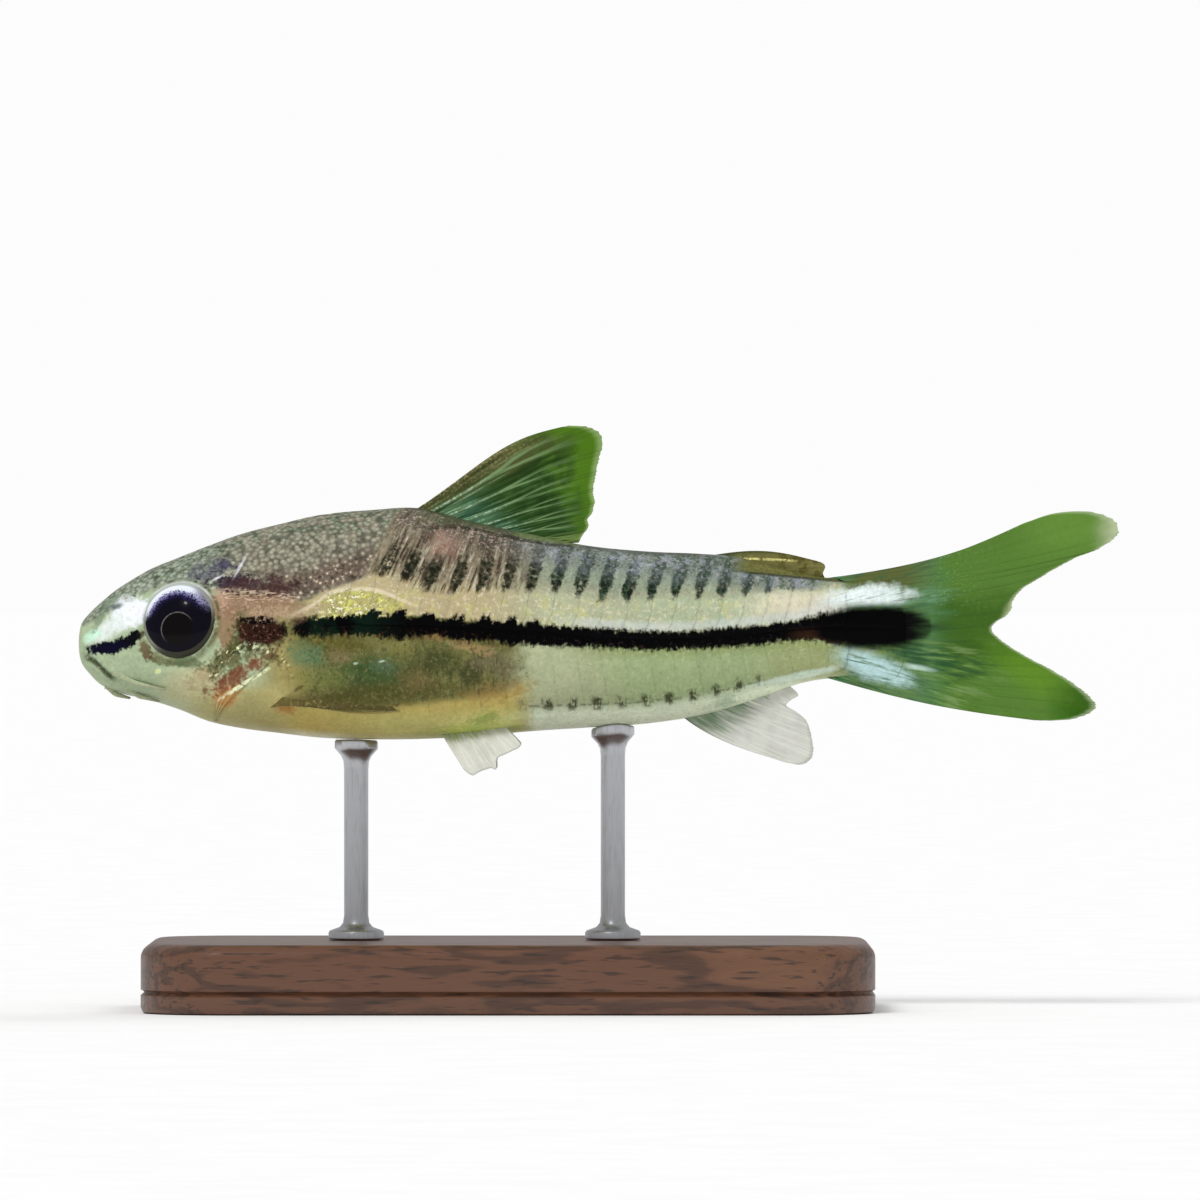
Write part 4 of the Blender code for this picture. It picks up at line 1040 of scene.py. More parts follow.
def mouth_relief(points):
    """The groove of the mouth between its lips."""
    x, z = points[..., 0], points[..., 2]
    ahead = ease(x, 1.35, 1.0) * ease(x, 0.10, 0.45)
    off = (z - mouth_height(x)) * 0.78
    lips = LIP_RISE * bump(off, 0.14, 0.09) + LIP_RISE * bump(off, -0.14, 0.09)
    fold = LIP_FOLD * bump(off, 0.42, 0.05)
    return ahead * (lips - MOUTH_DEPTH * bump(off, 0.0, 0.032) - fold)


def nostril_relief(points):
    total = 0.0
    for x, z, radius in NOSTRILS:
        foot = np.array([x, flank(x, z), z])
        distance = np.linalg.norm(points - foot, axis=-1)
        total = total + NOSTRIL_RIM * bump(distance, radius, 0.04)
        total = total - NOSTRIL_DEPTH * ease(distance, radius * 0.8, 0.0)
    return total


def head_relief(points, s, row):
    """Soft forms of the head bones: brow, cheek bone and gill slit."""
    x, z = points[..., 0], points[..., 2]
    brow = 0.05 * bump(x, 2.9, 0.9) * bump(z, 1.62, 0.22)
    below_eye = -0.04 * bump(z + 0.12 * (x - 2.9), -1.12, 0.10) * bump(x, 2.9, 1.0)
    nape = -0.012 * bump(s, HEAD_END + 0.02, 0.09) * ease(row, 0.05, 0.3)
    slit = -0.022 * bump(s, HEAD_END + 0.05, 0.06) * ease(row, 0.20, 0.02) * ease(row, -0.92, -0.75)
    shoulder = 0.02 * ease(s, HEAD_END + 0.1, HEAD_END + 0.28) * ease(s, 7.3, 6.7)
    shoulder = shoulder * ease(row, 0.9, 0.7) * ease(row, -0.8, -0.6)
    return brow + below_eye + nape + slit + shoulder


def make_skin(paint):
    s, row = np.meshgrid(ring_places(), np.linspace(1, -1, SIDE_POINTS + 1), indexing="ij")
    plain = surface(s, row)
    normal = grid_normals(plain, closes_at_midline=True)
    relief = eye_relief(plain) + mouth_relief(plain) + nostril_relief(plain)
    relief = relief + head_relief(plain, s, row)
    seam = -0.015 * bump(row, 0.0, 0.02) * ease(s, PLATES_START, 7.4)
    under_plates = -0.03 * ease(s, PLATES_START, 7.2) * ease(row, 0.95, 0.85)
    under_plates = under_plates * ease(row, -0.72, -0.6)
    relief = relief + (seam + under_plates) * ease(s, FLESH_END, 22.2)
    right = plain + normal * relief[..., None]
    right[:, 0, 1] = 0
    right[:, -1, 1] = 0
    fields = body_fields(right, s)
    mirror = np.array([1, -1, 1])
    rings = np.concatenate([right * mirror, right[:, -2:0:-1]], axis=1)
    whole = {}
    for name, values in fields.items():
        whole[name] = np.concatenate([values, values[:, -2:0:-1]], axis=1)
    ends = (np.array([0.0, 0.0, BODY_LINES[0][1]]), rings[-1].mean(axis=0))
    return closed_tube("skin", rings, whole, paint, ends=ends, sharp_angle=80)


# Bony plates

PLATE_RISE = 0.036
PLATE_LIP = 0.024
PLATE_SINK = 0.05
PLATE_OVERLAP = 0.16
# Upper end, lower end and points across of the plates above and below the seam
PLATE_ROWS = ((0.885, 0.012, 56), (-0.012, -0.655, 44))
PLATE_STEPS = 14
PLATE_SEED = 7
PLATE_JITTER = 0.012
# Share of its cell on the unwrap that a plate fills, along and across
PLATE_PATCH = (0.94, 0.47)


def plate_grid(n, top_row, low_row, count, rng):
    """Upper and lower faces of one plate with its fields, on the right side."""
    a = np.linspace(0, 1, PLATE_STEPS)[:, None]
    b = np.linspace(0, 1, count)[None, :]
    jitter = rng.normal(0, PLATE_JITTER, 3)
    start = max(plate_edge(n) - PLATE_OVERLAP, HEAD_END + 0.16)
    middle = 2 * b - 1
    corner = 0.16 * np.abs(middle) ** 5
    ripple = 0.012 * np.sin(b * 23 + n * 1.7) + 0.01 * np.sin(b * 51 + n)
    end = plate_edge(n + 1) + jitter[0] + 0.03 * (1 - middle ** 2) - corner + ripple
    s = start + a * (end - start)
    taper = np.sqrt(1 - np.abs(middle) ** 9)
    row = top_row + jitter[1] * 0.3 + (low_row - top_row) * b + 0 * a
    plain = surface(s, row)
    normal = grid_normals(plain)
    rise = PLATE_RISE * (1 + jitter[2] * 4)
    rear = ease(a, 1.0, 0.93)
    high = (0.008 + rise * a ** 1.2) * (0.35 + 0.65 * taper)
    ridges = 0.006 * np.sin(a * 15) * taper * ease(a, 0.3, 0.6)
    under = -PLATE_SINK + (high + PLATE_SINK - PLATE_LIP) * ease(a, 0.55, 0.95)
    top = under + (high + ridges - under) * (0.25 + 0.75 * np.sqrt(np.maximum(rear, 0)))
    top_points = plain + normal * top[..., None]
    under_points = plain + normal * under[..., None]
    return top_points, under_points, body_fields(top_points, s)


def make_plates(side, word, paint):
    """Both rows of plates on one side, each plate overlapping the next one like a shingle."""
    rng = np.random.default_rng(PLATE_SEED)
    points, faces, places, gathered = [], [], [], {}
    first = 0
    mirror = np.array([1, side, 1])
    long, tall = PLATE_PATCH
    for n in range(PLATE_COUNT):
        for index, (top_row, low_row, count) in enumerate(PLATE_ROWS):
            top, under, fields = plate_grid(n, top_row, low_row, count, rng)
            foot = index / len(PLATE_ROWS)
            patch = (n / PLATE_COUNT, foot, (n + long) / PLATE_COUNT, foot + tall)
            made, laid = sheet_parts(top, patch, first)
            groups = [group[:, ::-1] if side < 0 else group for group in made]
            laid = [group[:, ::-1] if side < 0 else group for group in laid]
            faces.append(np.concatenate(groups))
            places.append(np.concatenate(laid))
            points += [top.reshape(-1, 3) * mirror, under.reshape(-1, 3) * mirror]
            for name, values in fields.items():
                gathered.setdefault(name, []).extend([values.reshape(-1, 3)] * 2)
            first += 2 * top.shape[0] * top.shape[1]
    whole = {name: np.concatenate(values) for name, values in gathered.items()}
    return assembled("plates_" + word, np.concatenate(points), faces, places, whole, paint)


# Gill covers

# Height and place of the cover's front edge
GILL_FRONT = (
    (-2.10, 3.85), (-1.76, 3.90), (-1.30, 4.16), (-0.70, 4.40), (-0.10, 4.54), (0.34, 4.80),
)
GILL_ROWS = (0.10, -0.86)
# Points from front to rear and from top to bottom
GILL_GRID = (46, 70)
GILL_RISE = 0.024
GILL_GAP = 0.02
GILL_SINK = 0.06
GILL_EDGE = 0.030
gill_front = curve(GILL_FRONT)


def make_gill_cover(side, word, paint):
    """A bony cover hinged at its front and free at its rear and lower edge."""
    along, across = GILL_GRID
    rear = surface(np.full(across, HEAD_END + GILL_GAP), np.linspace(*GILL_ROWS, across))
    a = np.linspace(0, 1, along)[:, None]
    b = np.linspace(0, 1, across)[None, :]
    off = np.abs(2 * b - 1)
    z = rear[None, :, 2] + 0 * a
    start = gill_front(z)
    end = rear[None, :, 0] - 0.30 * off ** 6
    x = start + a * np.maximum(end - start, 0.15)
    plain = np.stack([x, flank(x, z), z], axis=-1)
    normal = grid_normals(plain)
    sides = np.sqrt(np.clip(1 - off ** 7, 0, 1))
    high = (0.004 + GILL_RISE * a ** 1.1) * (0.2 + 0.8 * sides)
    grooves = 0.008 * np.sin(a * 30 + 2 * np.sin(b * 5)) * sides * ease(a, 0.1, 0.4)
    under = -GILL_SINK + (high + GILL_SINK - GILL_EDGE) * ease(a, 0.6, 0.97)
    top = under + (high + grooves - under) * (0.25 + 0.75 * np.sqrt(ease(a, 1.0, 0.95)))
    top_points = plain + normal * top[..., None]
    under_points = plain + normal * under[..., None]
    fields = body_fields(top_points, HEAD_END + 0 * x)
    mirror = np.array([1, side, 1])
    name = "gill_cover_" + word + "_bone"
    return closed_sheet(name, top_points * mirror, under_points * mirror, fields, paint)


# Eyes

# The pupil on the eye's disc, and points of the eye from front to back and round it
PUPIL = (0.05, -0.35)
PUPIL_RADIUS = 0.48
EYE_GRID = (64, 128)


def paint_eye():
    """A dark eye, with a violet bloom and a white crescent at its top: a painted reflection of the
    light from above.
    """
    p = Paint("eye_glaze", (6, 5, 17))
    across, up, ring = p.field("disc")
    fine = p.noise(0.05, 3.0)
    wide = p.noise(0.16, 2.0, shift=(4, 4, 4))
    low_up = up + 0.10
    away = (across * across + low_up * low_up).power(0.5) + (fine - 0.5) * 0.24
    # Painted reflection of the light from above: violet bloom and white crescent on the eye's upper
    # part
    top = (up - across * 0.15 + (wide - 0.5) * 0.35).rise(0.05, 0.50)
    p.lay((50, 44, 104), away.rise(0.60, 0.84) * top * fine.rise(0.42, 0.58) * 0.9)
    p.lay((150, 146, 190), away.rise(0.74, 0.90) * top * fine.rise(0.34, 0.54) * 0.9)
    p.lay((226, 232, 242), away.rise(0.86, 0.96) * top * across.rise(0.75, 0.25))
    grey = away.rise(0.88, 0.98) * top * across.rise(0.35, 0.8)
    p.lay((120, 120, 116), grey * fine.rise(0.35, 0.6) * 0.8)
    dx, dz = across - PUPIL[0], up - PUPIL[1]
    pupil = (dx * dx + dz * dz).power(0.5)
    p.lay((8, 4, 5), pupil.rise(PUPIL_RADIUS + 0.02, PUPIL_RADIUS - 0.05))
    arc = (pupil - PUPIL_RADIUS).size().rise(0.026, 0.006) * (dz * 1.2 - dx).rise(-0.25, 0.45)
    p.lay((112, 108, 104), arc * fine.rise(0.25, 0.55) * 0.8)
    p.lay((150, 154, 136), ring.rise(0.975, 1.0) * (across * 0.6 - up).rise(0.9, 0.2) * 0.7)
    p.lay((70, 70, 56), ring.rise(0.975, 1.0) * (across * 0.6 - up).rise(0.2, 0.9) * 0.7)
    p.roughness = fine * 0.05 + 0.16
    return p.finish(fine, 0.002, Coat_Weight=0.12, Coat_Roughness=0.06, Specular_IOR_Level=0.04)


def make_eye(side, word, paint):
    centre, out = eye_axis()
    out = out * np.array([1, side, 1])
    centre = centre * np.array([1, side, 1]) - out * EYE_SINK
    up = np.array([0.0, 0.0, 1.0])
    up = up - out * (up @ out)
    up /= np.linalg.norm(up)
    across = np.cross(up, out)
    across *= 1.0 if across[0] > 0 else -1.0
    rows, around = EYE_GRID
    polar = np.linspace(0, math.pi, rows + 2)[1:-1, None, None]
    turn = (2 * math.pi * np.arange(around) / around)[None, :, None]
    flat = np.sin(polar)
    a, b = EYE_RADIUS * flat * np.cos(turn), EYE_RADIUS * flat * np.sin(turn)
    deep = EYE_HALF_DEPTH * np.cos(polar) + 0 * turn
    rings = centre + a * across + b * up + deep * out
    disc = np.concatenate([a, b, np.sqrt(a * a + b * b)], axis=-1)
    ends = (centre + out * EYE_HALF_DEPTH, centre - out * EYE_HALF_DEPTH)
    return closed_tube("eye_" + word + "_ball", rings, {"disc": disc}, paint, ends=ends)


# Barbels

# Name, then distance from the snout and from the midline of the root and of the tip
BARBELS = (
    ("maxillary", (1.05, 1.08), (2.55, 1.44)),
    ("rictal", (1.45, 0.70), (2.35, 0.84)),
    ("chin", (0.80, 0.27), (1.48, 0.30)),
)
BARBEL_RADII = (0.12, 0.03)
BARBEL_HANG = 0.09
BARBEL_SINK = 0.06
BARBEL_STEPS = 40
BARBEL_SIDES = 20


def paint_barbel():
    p = Paint("barbel_flesh", (166, 176, 142))
    along_it, _, _ = p.field("feeler")
    fine = p.noise(0.08, 3.0)
    p.lay((136, 142, 108), fine.rise(0.48, 0.66) * 0.6)
    p.lay((132, 134, 112), along_it.rise(0.5, 1.0) * 0.7)
    p.roughness = fine * 0.2 + 0.3
    return p.finish(
        fine, 0.012, Coat_Weight=0.08, Coat_Roughness=0.2, Specular_IOR_Level=0.2,
        Subsurface_Weight=0.1, Subsurface_Scale=0.0004,
    )


def swept(path, radii, sides):
    """Rings of a round tube along a path."""
    rings, across = [], None
    ways = np.gradient(path, axis=0)
    for centre, radius, way in zip(path, radii, ways):
        way = way / np.linalg.norm(way)
        if across is None:
            across = np.cross(way, [0.3, 0.9, 0.2])
        across = across - way * (across @ way)
        across /= np.linalg.norm(across)
        other = np.cross(way, across)
        turn = (2 * math.pi * np.arange(sides) / sides)[:, None]
        rings.append(centre + radius * (np.cos(turn) * across + np.sin(turn) * other))
    return np.array(rings)


def make_barbel(name, root, tip, side, word, paint):
    """A tapered feeler that springs from the lip and lies back along the underside of the head."""
    t = np.linspace(0, 1, BARBEL_STEPS)
    x, y = between((root[0], tip[0]), t), between((root[1], tip[1]), t)
    z = underside(x, y)
    deep = widest(x) - belly(x)
    out = np.stack([0 * x, y / half_width(x) ** 2, (z - widest(x)) / deep ** 2], axis=-1)
    out /= np.linalg.norm(out, axis=-1, keepdims=True)
    away = (BARBEL_HANG + BARBEL_SINK) * ease(t, 0.0, 0.45) - BARBEL_SINK
    path = (np.stack([x, y, z], axis=-1) + out * away[:, None]) * np.array([1, side, 1])
    thick, thin = BARBEL_RADII
    radii = (thick - (thick - thin) * t ** 0.7) * (1 + 0.03 * np.sin(t * 60))
    rings = swept(path, radii, BARBEL_SIDES)
    feeler = np.zeros((*rings.shape[:2], 3))
    feeler[..., 0] = t[:, None]
    return closed_tube(f"barbel_{name}_{word}_flesh", rings, {"feeler": feeler}, paint)


# Fins

# Half thickness of the web and, above it, of a ray
WEB_HALF = 0.022
RAY_HALF = 0.050
ROOT_SINK = 0.30
FIN_STEPS = 72
# Spread of a ray's branches in ray gaps, and where along the ray they part
FORKS = ((0.19, 0.34, 0.70), (0.085, 0.66, 0.95))


def ray_ridges(v, u, rays):
    """How strongly a point lies on a ray. Rays fork once and then again towards the margin."""
    phase = v * (rays - 1)
    off = np.abs(phase - np.round(phase))
    for spread, start, end in FORKS:
        off = np.abs(off - spread * ease(u, start, end))
    return np.exp(-(off / (0.115 - 0.055 * u)) ** 2), phase


def fin(name, root, tips, place, normal, rays, paint, flesh, bow=(0.0, 1.0), rear_bow=0.0,
        lead=0.04, relief=1.0, density=22):
    """A fin as a thin web over raised, forking rays.

    root and tips give flat points for v from 0 at the leading ray to 1, and place turns a flat
    point into a point in space. flesh thickens the root and lead the leading ray. bow bends the
    leading ray, nearer its tip the larger the second number is, and rear_bow the last one. relief
    scales how far the rays stand out, and density says how many points lie between two rays.
    """
    v = np.linspace(0, 1, rays * density)[:, None]
    u = np.linspace(0, 1, FIN_STEPS)[None, :] ** 0.92
    start, tip = root(v), tips(v)
    run = tip - start
    aside = np.stack([-run[..., 1], run[..., 0]], axis=-1)
    aside = aside / np.linalg.norm(aside, axis=-1, keepdims=True)
    ridge, phase = ray_ridges(v, u, rays)
    margin = 1 - 0.007 * (1 - ridge[:, -1:]) * ease(u, 0.6, 1.0)
    arch = bow[0] * (1 - v) ** 2 * np.sin(math.pi * u ** bow[1])
    arch = arch + rear_bow * v ** 3 * np.sin(math.pi * u)
    flat = start + run * (u * margin)[..., None] + aside * arch[..., None]
    segments = 1 + 0.10 * np.sin(u * 95 + phase) * ease(u, 0.15, 0.3)
    thin = 1 - 0.62 * u
    half = WEB_HALF * (1 - 0.4 * u) + RAY_HALF * relief * thin * ridge * segments
    half = half + flesh * ease(u, 0.20, 0.0) + lead * bump(phase, 0.0, 0.35) * (1 - 0.75 * u)
    for edge in (ease(u, 1.0, 0.985), ease(v, 0.0, 0.012)):
        half = half * np.sqrt(edge * 0.8 + 0.2)
    ripple = 0.025 * relief * np.sin(2 * math.pi * phase + 1.3) * ease(u, 0.1, 0.6)
    ripple = ripple + 0.07 * np.sin(v * 5.0 + 0.6) * u * u
    faces_out = np.array(normal, float) / np.linalg.norm(normal)
    middle = place(flat) + faces_out * ripple[..., None]
    front = middle + faces_out * half[..., None]
    rear = middle - faces_out * half[..., None]
    fields = {
        "fin": np.stack([u + 0 * v, phase + 0 * u, ridge], axis=-1),
        "site": np.stack([flat[..., 0], flat[..., 1], v + 0 * u], axis=-1),
    }
    return closed_sheet(name, front, rear, fields, paint, sharp_angle=60)


def finish_web(p, fine, dull=0.35, alpha=1.0, specular=0.06, coat=0.03):
    """Joins a fin's layers to its shader. alpha is how far the web covers what is behind it."""
    p.roughness = fine * 0.2 + dull
    return p.finish(fine, 0.008, Coat_Weight=coat, Specular_IOR_Level=specular, Alpha=alpha)


def thin_tips(u):
    """Cover of a web that lets a little light through at its margin."""
    return u.rise(1.3, 0.7) * 0.05 + 0.95


def paint_dorsal():
    """Dark green web with pale rays, brown at the leading ray and brighter towards the tips, with
    painted teal-white glints near the roots.
    """
    p = Paint("dorsal_fin_web", (52, 84, 38))
    u, phase, ridge = p.field("fin")
    _, _, v = p.field("site")
    fine = p.noise(0.08, 3.0)
    wide = p.noise(0.7, 3.0)
    streak = p.noise(1.0, 3.0, place=p.vector(u * 2.4, phase * 4.5, 0.0))
    p.lay((76, 116, 20), (u + v * -0.25 + (wide - 0.5) * 0.5).rise(0.52, 0.86) * 0.9)
    middle = u.rise(0.46, 0.10) * v.band(0.16, 0.72, 0.12)
    p.lay((62, 108, 88), middle * wide.rise(0.32, 0.52) * 0.85)
    p.lay((30, 58, 14), u.band(0.35, 0.85, 0.15) * v.rise(0.75, 0.5) * wide.rise(0.60, 0.42) * 0.7)
    p.lay((96, 92, 56), (phase + (wide - 0.5) * 1.4).rise(1.7, 0.3) * u.rise(0.95, 0.6) * 0.85)
    p.lay((150, 144, 96), phase.rise(1.2, 0.2) * fine.rise(0.50, 0.62) * u.rise(0.9, 0.6) * 0.7)
    p.lay((124, 146, 78), v.rise(0.80, 0.96) * 0.75)
    pale = (ridge.rise(0.30, 0.85) + streak.rise(0.56, 0.68) * 0.6).least(1.0)
    pale = pale * streak.rise(0.30, 0.54)
    p.lay((124, 152, 104), pale * u.rise(0.95, 0.55) * v.rise(0.0, 0.08) * 0.75)
    p.lay((112, 146, 108), u.rise(0.40, 0.05) * streak.rise(0.44, 0.60) * v.rise(0.06, 0.2) * 0.7)
    # Painted glints: teal-white near the rays' roots
    p.lay((186, 216, 194), pale * u.rise(0.50, 0.12) * fine.rise(0.45, 0.57) * 0.9)
    p.lay((24, 46, 12), ridge.rise(0.22, 0.02) * streak.rise(0.56, 0.36) * u.rise(0.95, 0.7) * 0.75)
    p.lay((96, 92, 72), u.rise(0.10, 0.0) * fine.rise(0.4, 0.6) * 0.8)
    p.lay((156, 182, 120), u.rise(0.95, 0.995) * 0.55)
    return finish_web(p, fine, alpha=thin_tips(u))


def paint_tail():
    """Green web, nearly plain, with streaks at the root of the lower lobe and pale soft tips."""
    p = Paint("tail_fin_web", (84, 120, 48))
    u, phase, _ = p.field("fin")
    x, z, _ = p.field("site")
    fine = p.noise(0.07, 3.0)
    wide = p.noise(1.3, 3.0)
    wobble = p.noise(0.34, 3.0, shift=(5, 5, 5))
    weave = p.noise(1.0, 2.0, place=p.vector(x * 9.0, phase * 3.0, 0.0))
    streak = tail_streaks(p, x, z)
    p.lay((56, 90, 26), (z + (wide - 0.5) * 1.2).band(-1.0, 0.9, 0.5) * x.rise(23.8, 25.0) * 0.85)
    p.lay((96, 140, 34), p.mark((27.5, -1.25), (1.30, 0.50), -32, 0.4, 0.8, wide - 0.5) * 0.65)
    p.lay((54, 104, 22), (z + x * 0.25).rise(5.1, 4.75) * x.rise(27.6, 28.8) * 0.85)
    p.lay((48, 88, 14), z.rise(-1.2, -2.0) * (x + (wide - 0.5) * 1.5).rise(27.6, 29.0) * 0.85)
    p.lay((98, 138, 56), z.rise(1.6, 2.8) * x.rise(26.6, 28.2) * 0.8)
    p.lay((74, 122, 84), (x + (streak - 0.5) * 2.0).rise(25.4, 24.0) * 0.8)
    p.lay((124, 152, 96), streak.rise(0.50, 0.62) * x.rise(27.4, 24.6) * z.rise(-0.2, -0.6) * 0.70)
    p.lay((34, 68, 28), streak.rise(0.48, 0.36) * x.rise(27.0, 24.4) * z.rise(-0.2, -0.6) * 0.75)
    p.lay((118, 156, 104), weave.rise(0.56, 0.68) * x.rise(26.6, 24.6) * z.rise(0.2, 0.8) * 0.5)
    p.shade(weave * 0.22 + 0.89)
    lay_tail(p, x, z, wobble, streak)
    lay_marks(p, TAIL_TIPS, wobble - 0.5)
    p.lay((176, 192, 152), u.rise(0.965, 1.0) * 0.6)
    return finish_web(p, fine, alpha=thin_tips(u))


def paint_adipose():
    """Olive flap with a yellow gleam along its upper part, a painted highlight."""
    p = Paint("adipose_fin_web", (112, 108, 62))
    _, phase, _ = p.field("fin")
    x, z, _ = p.field("site")
    fine = p.noise(0.08, 3.0)
    # Painted highlights: the yellow gleam and a shorter pale one
    gleam = (z + x * 0.04 - 2.77).size().rise(0.05, 0.015)
    wide = p.noise(0.30, 3.0)
    p.lay((84, 78, 34), wide.rise(0.44, 0.60) * x.rise(19.2, 20.6) * 0.8)
    p.lay((146, 148, 96), wide.rise(0.46, 0.60) * x.rise(20.0, 19.0) * 0.6)
    p.lay((222, 216, 140), gleam * x.band(19.0, 20.6, 0.3) * fine.rise(0.42, 0.54) * 0.9)
    short_gleam = (z + x * 0.05 - 2.70).size().rise(0.05, 0.01)
    p.lay((196, 198, 150), short_gleam * x.band(19.0, 19.7, 0.2) * 0.7)
    p.lay((72, 78, 38), phase.rise(0.6, 0.0) * 0.8)
    p.lay((84, 98, 66), x.rise(19.2, 18.4) * 0.7)
    p.shade(fine * 0.7 + 0.65)
    return finish_web(p, fine)


CLEAR_WEB = (218, 219, 210)
CLEAR_COVER = 0.88


def paint_clear_fin(name, root_colour):
    """Pale grey, nearly clear web, tinted and streaked at its root, with painted white glints on
    the rays near the root.
    """
    p = Paint(name, CLEAR_WEB)
    u, phase, ridge = p.field("fin")
    fine = p.noise(0.08, 3.0)
    wide = p.noise(0.6, 3.0)
    streak = p.noise(1.0, 3.0, place=p.vector(u * 2.4, phase * 3.5, 0.0))
    p.lay([c - 14 for c in CLEAR_WEB], wide.rise(0.42, 0.66) * 0.8)
    p.lay(root_colour, (u + (streak - 0.5) * 0.9 + (wide - 0.5) * 0.3).rise(0.44, 0.08) * 0.95)
    p.lay([c * 0.6 for c in root_colour], streak.rise(0.46, 0.36) * u.rise(0.34, 0.10) * 0.6)
    # Painted glints: white streaks on the rays near the root
    rays = ridge.rise(0.4, 0.95) * streak.rise(0.50, 0.60) * u.band(0.10, 0.36, 0.06)
    p.lay((226, 234, 206), rays * 0.9)
    p.lay([c + 8 for c in CLEAR_WEB], ridge.rise(0.4, 1.0) * u.rise(0.4, 0.7) * 0.3)
    p.lay([c - 60 for c in CLEAR_WEB], u.rise(0.955, 0.995) * 0.45)
    alpha = (ridge * 0.08 + CLEAR_COVER) + u.rise(0.45, 0.05) * (0.98 - CLEAR_COVER)
    return finish_web(p, fine, 0.38, alpha.least(1.0), specular=0.08)


def paint_pectoral():
    """Olive, nearly clear web behind a darker spine."""
    p = Paint("pectoral_fin_web", (118, 112, 62))
    u, phase, ridge = p.field("fin")
    fine = p.noise(0.10, 3.0)
    spine = phase.rise(0.75, 0.30)
    p.lay((150, 140, 84), ridge * 0.6)
    p.lay((76, 66, 30), spine * fine.rise(0.30, 0.52) * 0.9)
    p.lay((112, 104, 60), u.rise(0.4, 0.0) * 0.7)
    alpha = (spine * 0.6 + ridge * 0.10 + 0.14).least(0.95)
    return finish_web(p, fine, 0.4, alpha, specular=0.12, coat=0.05)


def margin_curve(points):
    """A smooth margin through (v, x, z) points."""
    along_x = curve([(v, x) for v, x, _ in points])
    along_z = curve([(v, z) for v, _, z in points])
    return lambda v: np.stack([along_x(v), along_z(v)], axis=-1)


def root_along(ends, line, sink):
    """A root between two distances from the snout, sunk below a line of the body."""
    def root(v):
        x = between(ends, v)
        return np.stack([x, line(x) + sink], axis=-1)

    return root


def on_midline(flat):
    return np.stack([flat[..., 0], np.zeros_like(flat[..., 0]), flat[..., 1]], axis=-1)


def midline_fin(name, root, margin, rays, paint, **shape):
    return fin(name, root, margin_curve(margin), on_midline, (0, 1, 0), rays, paint, **shape)


# Each fin's root runs between two distances from the snout. Its margin is a line of points: share
# of the way from the leading ray to the last one, distance and height.
DORSAL_ROOT = (9.30, 13.10)
DORSAL_MARGIN = (
    (0.00, 13.85, 5.79), (0.05, 14.27, 5.85), (0.10, 14.70, 5.80), (0.14, 15.00, 5.66),
    (0.18, 15.13, 5.38), (0.24, 15.04, 5.00), (0.33, 14.95, 4.57), (0.43, 14.87, 4.15),
    (0.53, 14.85, 3.82), (0.57, 14.90, 3.69), (0.62, 14.85, 3.50), (0.69, 14.81, 3.30),
    (0.74, 14.68, 3.15), (0.80, 14.71, 2.93), (0.88, 14.56, 2.72), (1.00, 14.42, 2.46),
)


def make_dorsal_fin(paint):
    root = root_along(DORSAL_ROOT, back, -ROOT_SINK)
    return midline_fin("dorsal_fin_rays", root, DORSAL_MARGIN, 9, paint, bow=(0.28, 1.8),
                       flesh=0.10, lead=0.05, relief=0.7)


ADIPOSE_ROOT = (17.60, 21.30)
ADIPOSE_SINK = 0.15
ADIPOSE_MARGIN = (
    (0.0, 21.22, 1.95), (0.3, 21.44, 1.88), (0.5, 21.53, 1.79), (0.7, 21.50, 1.68),
    (0.85, 21.46, 1.58), (1.0, 21.50, 1.46),
)


def make_adipose_fin(paint):
    root = root_along(ADIPOSE_ROOT, back, -ADIPOSE_SINK)
    return midline_fin("adipose_fin_flap", root, ADIPOSE_MARGIN, 4, paint, bow=(0.25, 1.16),
                       flesh=0.08, relief=0.4, density=30)


ANAL_ROOT = (17.20, 20.30)
ANAL_MARGIN = (
    (0.00, 20.24, -3.84), (0.08, 20.58, -3.92), (0.15, 20.85, -3.94), (0.22, 21.10, -3.82),
    (0.30, 21.19, -3.55), (0.42, 21.14, -3.17), (0.53, 21.06, -2.84), (0.62, 20.94, -2.62),
    (0.72, 20.66, -2.40), (0.80, 20.40, -2.22), (0.86, 20.56, -2.06), (0.92, 20.75, -1.94),
    (1.00, 20.50, -1.66),
)


def make_anal_fin(paint):
    root = root_along(ANAL_ROOT, belly, ROOT_SINK)
    return midline_fin("anal_fin_rays", root, ANAL_MARGIN, 8, paint, bow=(-0.21, 0.76),
                       flesh=0.09, relief=0.15)


TAIL_ROOT_X = (21.60, 22.90)
TAIL_ROOT_Z = 1.45
TAIL_MARGIN = (
    (0.000, 27.30, 3.04), (0.018, 28.08, 3.30), (0.038, 28.93, 3.38), (0.060, 29.64, 3.24),
    (0.080, 29.95, 3.03), (0.100, 30.02, 2.83), (0.130, 29.87, 2.58), (0.165, 29.48, 2.31),
    (0.220, 28.80, 2.04),
    (0.300, 27.82, 1.50), (0.360, 27.16, 1.07), (0.395, 26.96, 0.80), (0.425, 26.90, 0.55),
    (0.450, 26.76, 0.36), (0.485, 26.42, 0.14), (0.515, 26.33, -0.04), (0.545, 26.50, -0.26),
    (0.610, 27.16, -0.72), (0.710, 28.16, -1.26), (0.800, 28.95, -1.79), (0.870, 29.34, -2.22),
    (0.920, 29.16, -2.46), (0.945, 28.75, -2.61), (0.970, 28.30, -2.67), (1.000, 27.60, -2.67),
)


